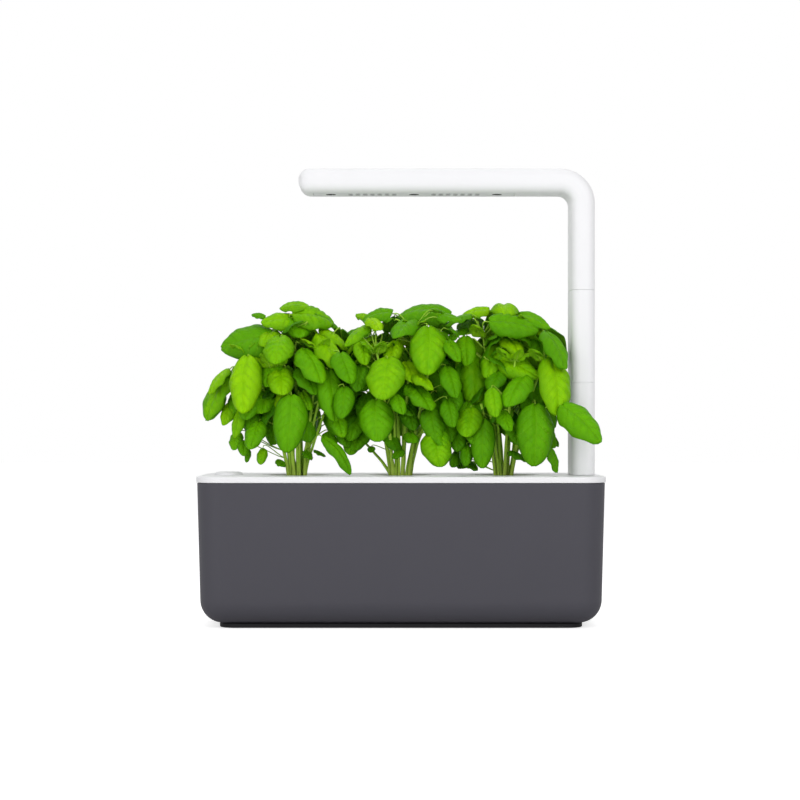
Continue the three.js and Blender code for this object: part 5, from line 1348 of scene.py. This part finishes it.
def plant_mesh(name, parts, finish):
    """One mesh from shapes that carry their material's numbers."""
    points, faces = gathered(*[(part[0], part[1]) for part in parts])
    piece = make(name, (np.array(points, float).tolist(), faces), finish)
    for name, *numbers in zip(("blade", "shade"), *[part[2:] for part in parts]):
        values = np.concatenate([np.asarray(number, float) for number in numbers])
        store = piece.data.attributes.new(name, "FLOAT_VECTOR", "POINT")
        store.data.foreach_set("vector", values.astype(np.float32).ravel())
    return piece


def tip_rows(path, middle_x, chance, count=6):
    """Young leaves round the growing tip of a stem: pairs that open outwards."""
    top, rows = path[-1], []
    first = chance.uniform(0, 360)
    for i in range(count):
        pair = i // 2
        heading = first + 90 * pair + 180 * (i % 2) + chance.uniform(-15, 15)
        slope = 62 - 14 * pair - chance.uniform(0, 14)
        slope = slope if pair else slope - 25
        length = (0.34 - 0.07 * pair) * chance.uniform(0.85, 1.15)
        reach, rise, turn = length * leaf_length * 0.55, slope * degree, heading * degree
        x = top.x + reach * math.cos(rise) * math.cos(turn) - middle_x
        y = top.y + reach * math.cos(rise) * math.sin(turn)
        z = top.z + reach * math.sin(rise) - lid_top
        shares = x / canopy_half_x, y / canopy_half_y, z / canopy_height
        tone = 0.6 + 0.3 * chance.random()
        rows.append((*shares, length, length * 1.15, heading, slope, 45, tone))
    return rows


def filler_rows(chance, count=28):
    """Leaves inside and behind, which close the heart of the plant: deep below as painted shade inside the
    plant, bright above.
    """
    rows = []
    for _ in range(count):
        x, y = chance.uniform(-0.52, 0.52), chance.uniform(-0.15, 0.6)
        z = chance.uniform(0.3, 0.9 - 0.25 * abs(x))
        heading = math.atan2(y + 0.1, x) / degree + chance.uniform(-50, 50)
        size, slope = chance.uniform(0.55, 0.85), chance.uniform(-65, -25)
        # Painted shade: leaves low in the heart of the plant get only deep tones.
        tone = chance.random() * (0.35 if z < 0.55 else 1)
        rows.append((x, y, z, size, size * 1.1, heading, slope, 25, tone))
    return rows


def thin_stems(chance, pairs=6):
    """Young stems among the others, from the soil to the lower leaves: pairs, fanned out."""
    rows = []
    for i in range(pairs):
        foot_x = 1.8 * (i + chance.random()) / pairs - 0.9
        foot_y = chance.uniform(-0.4, 0.4)
        top_x = foot_x * 0.34 + chance.uniform(-0.08, 0.08)
        top_y, top_z = chance.uniform(-0.3, 0.3), chance.uniform(0.3, 0.5)
        rows.append((foot_x, foot_y, top_x, top_y, top_z))
        rows.append((foot_x * 0.8, -foot_y, top_x * 0.7, -top_y, top_z * 0.9))
    return rows


def add_plant(side):
    x, body, node = pod_x[side], f"plant_{side}", f"basil_{side}"
    chance = random.Random(sides.index(side) + 5)
    stems = [stem_path(row, x) for row in stem_table[side]]
    leaves, stalks = [], []
    for path in stems:
        last = len(path) - 1
        stalks.append(stalk_parts(path, [stem_radius * (1 - 0.5 * i / last) for i in range(last + 1)]))
    for row in thin_stems(chance):
        path = stem_path(row, x)
        stalks.append(stalk_parts(path, [young_radius] * len(path)))
    rows = [from_percents(*row) for row in leaf_table[side]] + filler_rows(chance)
    big = [(row, 24, 14) for row in rows]
    small = [(row, 12, 8) for path in stems for row in tip_rows(path, x, chance)]
    for row, along, across in big + small:
        leaf = Leaf(x, *row)
        leaves.append(leaf_shape(leaf, chance, along, across))
        path = petiole_path(stalk_root(leaf.midrib(0), stems), leaf)
        thick = petiole_radius * min(1, 0.45 + leaf.width / leaf_width * 0.6)
        radii = [thick * (1 - 0.15 * i / petiole_steps) for i in range(petiole_steps)]
        radii += [thick * (0.7 - 0.6 * i / rib_steps) for i in range(rib_steps + 1)]
        stalks.append(stalk_parts(path, radii, 0.5, 6))
    blades = plant_mesh(f"basil_leaves_{side}", leaves, leaf_green)
    dress(blades, body, "leaf", node, organic=True)
    stalk = plant_mesh(f"basil_stems_{side}", stalks, stem_green)
    dress(stalk, body, "leaf", node, organic=True)


# Camera: the photograph's frame is 800 pixels square, seen square on from just above the lid

photo_side = 800
focal_pixels = 1980
horizon_row, centre_column = 423, 401
camera_distance, camera_height = 1500.0, 150.5

eye = bpy.data.cameras.new("camera")
eye.sensor_width = 36
eye.lens = focal_pixels / photo_side * eye.sensor_width
eye.shift_y = (horizon_row - photo_side / 2) / photo_side
eye.clip_start, eye.clip_end = 0.05, 20
camera = bpy.data.objects.new("camera", eye)
aside = (photo_side / 2 - centre_column) * camera_distance / focal_pixels
camera.location = Vector((aside, -camera_distance, camera_height)) * MM
camera.rotation_euler = (QUARTER, 0, 0)
scene.collection.objects.link(camera)
scene.camera = camera


# Light, floor and background

ambient, floor_glow = 0.4, 0.62


def add_light(name, place, aim, size, power):
    """A square softbox; places in metres, power in watts."""
    data = bpy.data.lights.new(name, "AREA")
    data.size = size
    data.energy = power
    light = bpy.data.objects.new(name, data)
    light.location = place
    light.rotation_euler = (Vector(aim) - Vector(place)).to_track_quat("-Z", "Y").to_euler()
    scene.collection.objects.link(light)


def add_world():
    """White where it is seen, mirrored or looked through, and plain soft light elsewhere."""
    scene.world = bpy.data.worlds.new("studio")
    sky = Nodes(scene.world, "Background")
    mirrored = sky.math("MAXIMUM", sky.ray("Camera"), sky.ray("Glossy"))
    seen = sky.math("MAXIMUM", mirrored, sky.ray("Transmission"))
    sky.feed("Color", (1, 1, 1, 1))
    sky.feed("Strength", sky.span(seen, 0, 1, ambient, 1))


def add_floor():
    """A pale plane that reads white to the camera and keeps the garden's shadow."""
    finish = Finish("floor", 0.9)
    finish.feed("Base Color", (0.88, 0.88, 0.88, 1))
    finish.feed("Emission Color", (1, 1, 1, 1))
    finish.feed("Emission Strength", finish.times(finish.ray("Camera"), floor_glow))
    reach, below = 6, -0.0002
    corners = [(reach * sx, reach * sy, below) for sx, sy in ((-1, -1), (1, -1), (1, 1), (-1, 1))]
    floor = make("floor", (corners, [(0, 1, 2, 3)]), finish.material)


# The garden

add_world()
add_floor()
add_light("key", (0.6, -1.3, 0.75), (0, 0, 0.12), 0.9, 9.2)
add_light("fill", (-0.9, -1.1, 0.6), (0, 0, 0.14), 1.0, 6.5)
add_light("top", (-0.1, 0.3, 1.5), (0, 0, 0.15), 1.2, 5.6)

add_tank()
add_foot()
add_lid()
add_socket_cover()
add_inlet()
add_float()
for side in sides:
    add_cup(side)
    add_wick(side)
    add_basket(side)
    add_soil(side)
    add_collar(side)
    add_plant(side)
for which in ("lower", "upper"):
    add_extension(which)
    add_column_lead(which)
add_lamp_arm()
add_lamp_cover()
add_led_board()
add_lamp_lead()
for i in (1, 2, 3):
    add_screw(f"panel_bolt_{i}", "lamp", f"cover_screw_{i}", shaft=1.1, head_height=1.5)

# Pieces of the source that are shown as they are
tubes = ("extension_lower", "extension_upper")
contacts = [f"{tube}_{part}" for tube in tubes for part in ("plug", "contacts")]
kept_finishes = {"timer_board": green_board, "heat_sink": drawn_aluminium}
kept_finishes |= dict.fromkeys(["socket_contacts", "lamp_plug", *contacts], brass)
for node, finish in kept_finishes.items():
    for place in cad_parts[node].material_slots:
        place.material = finish

scene.view_settings.view_transform = "Standard"

bpy.context.view_layer.update()
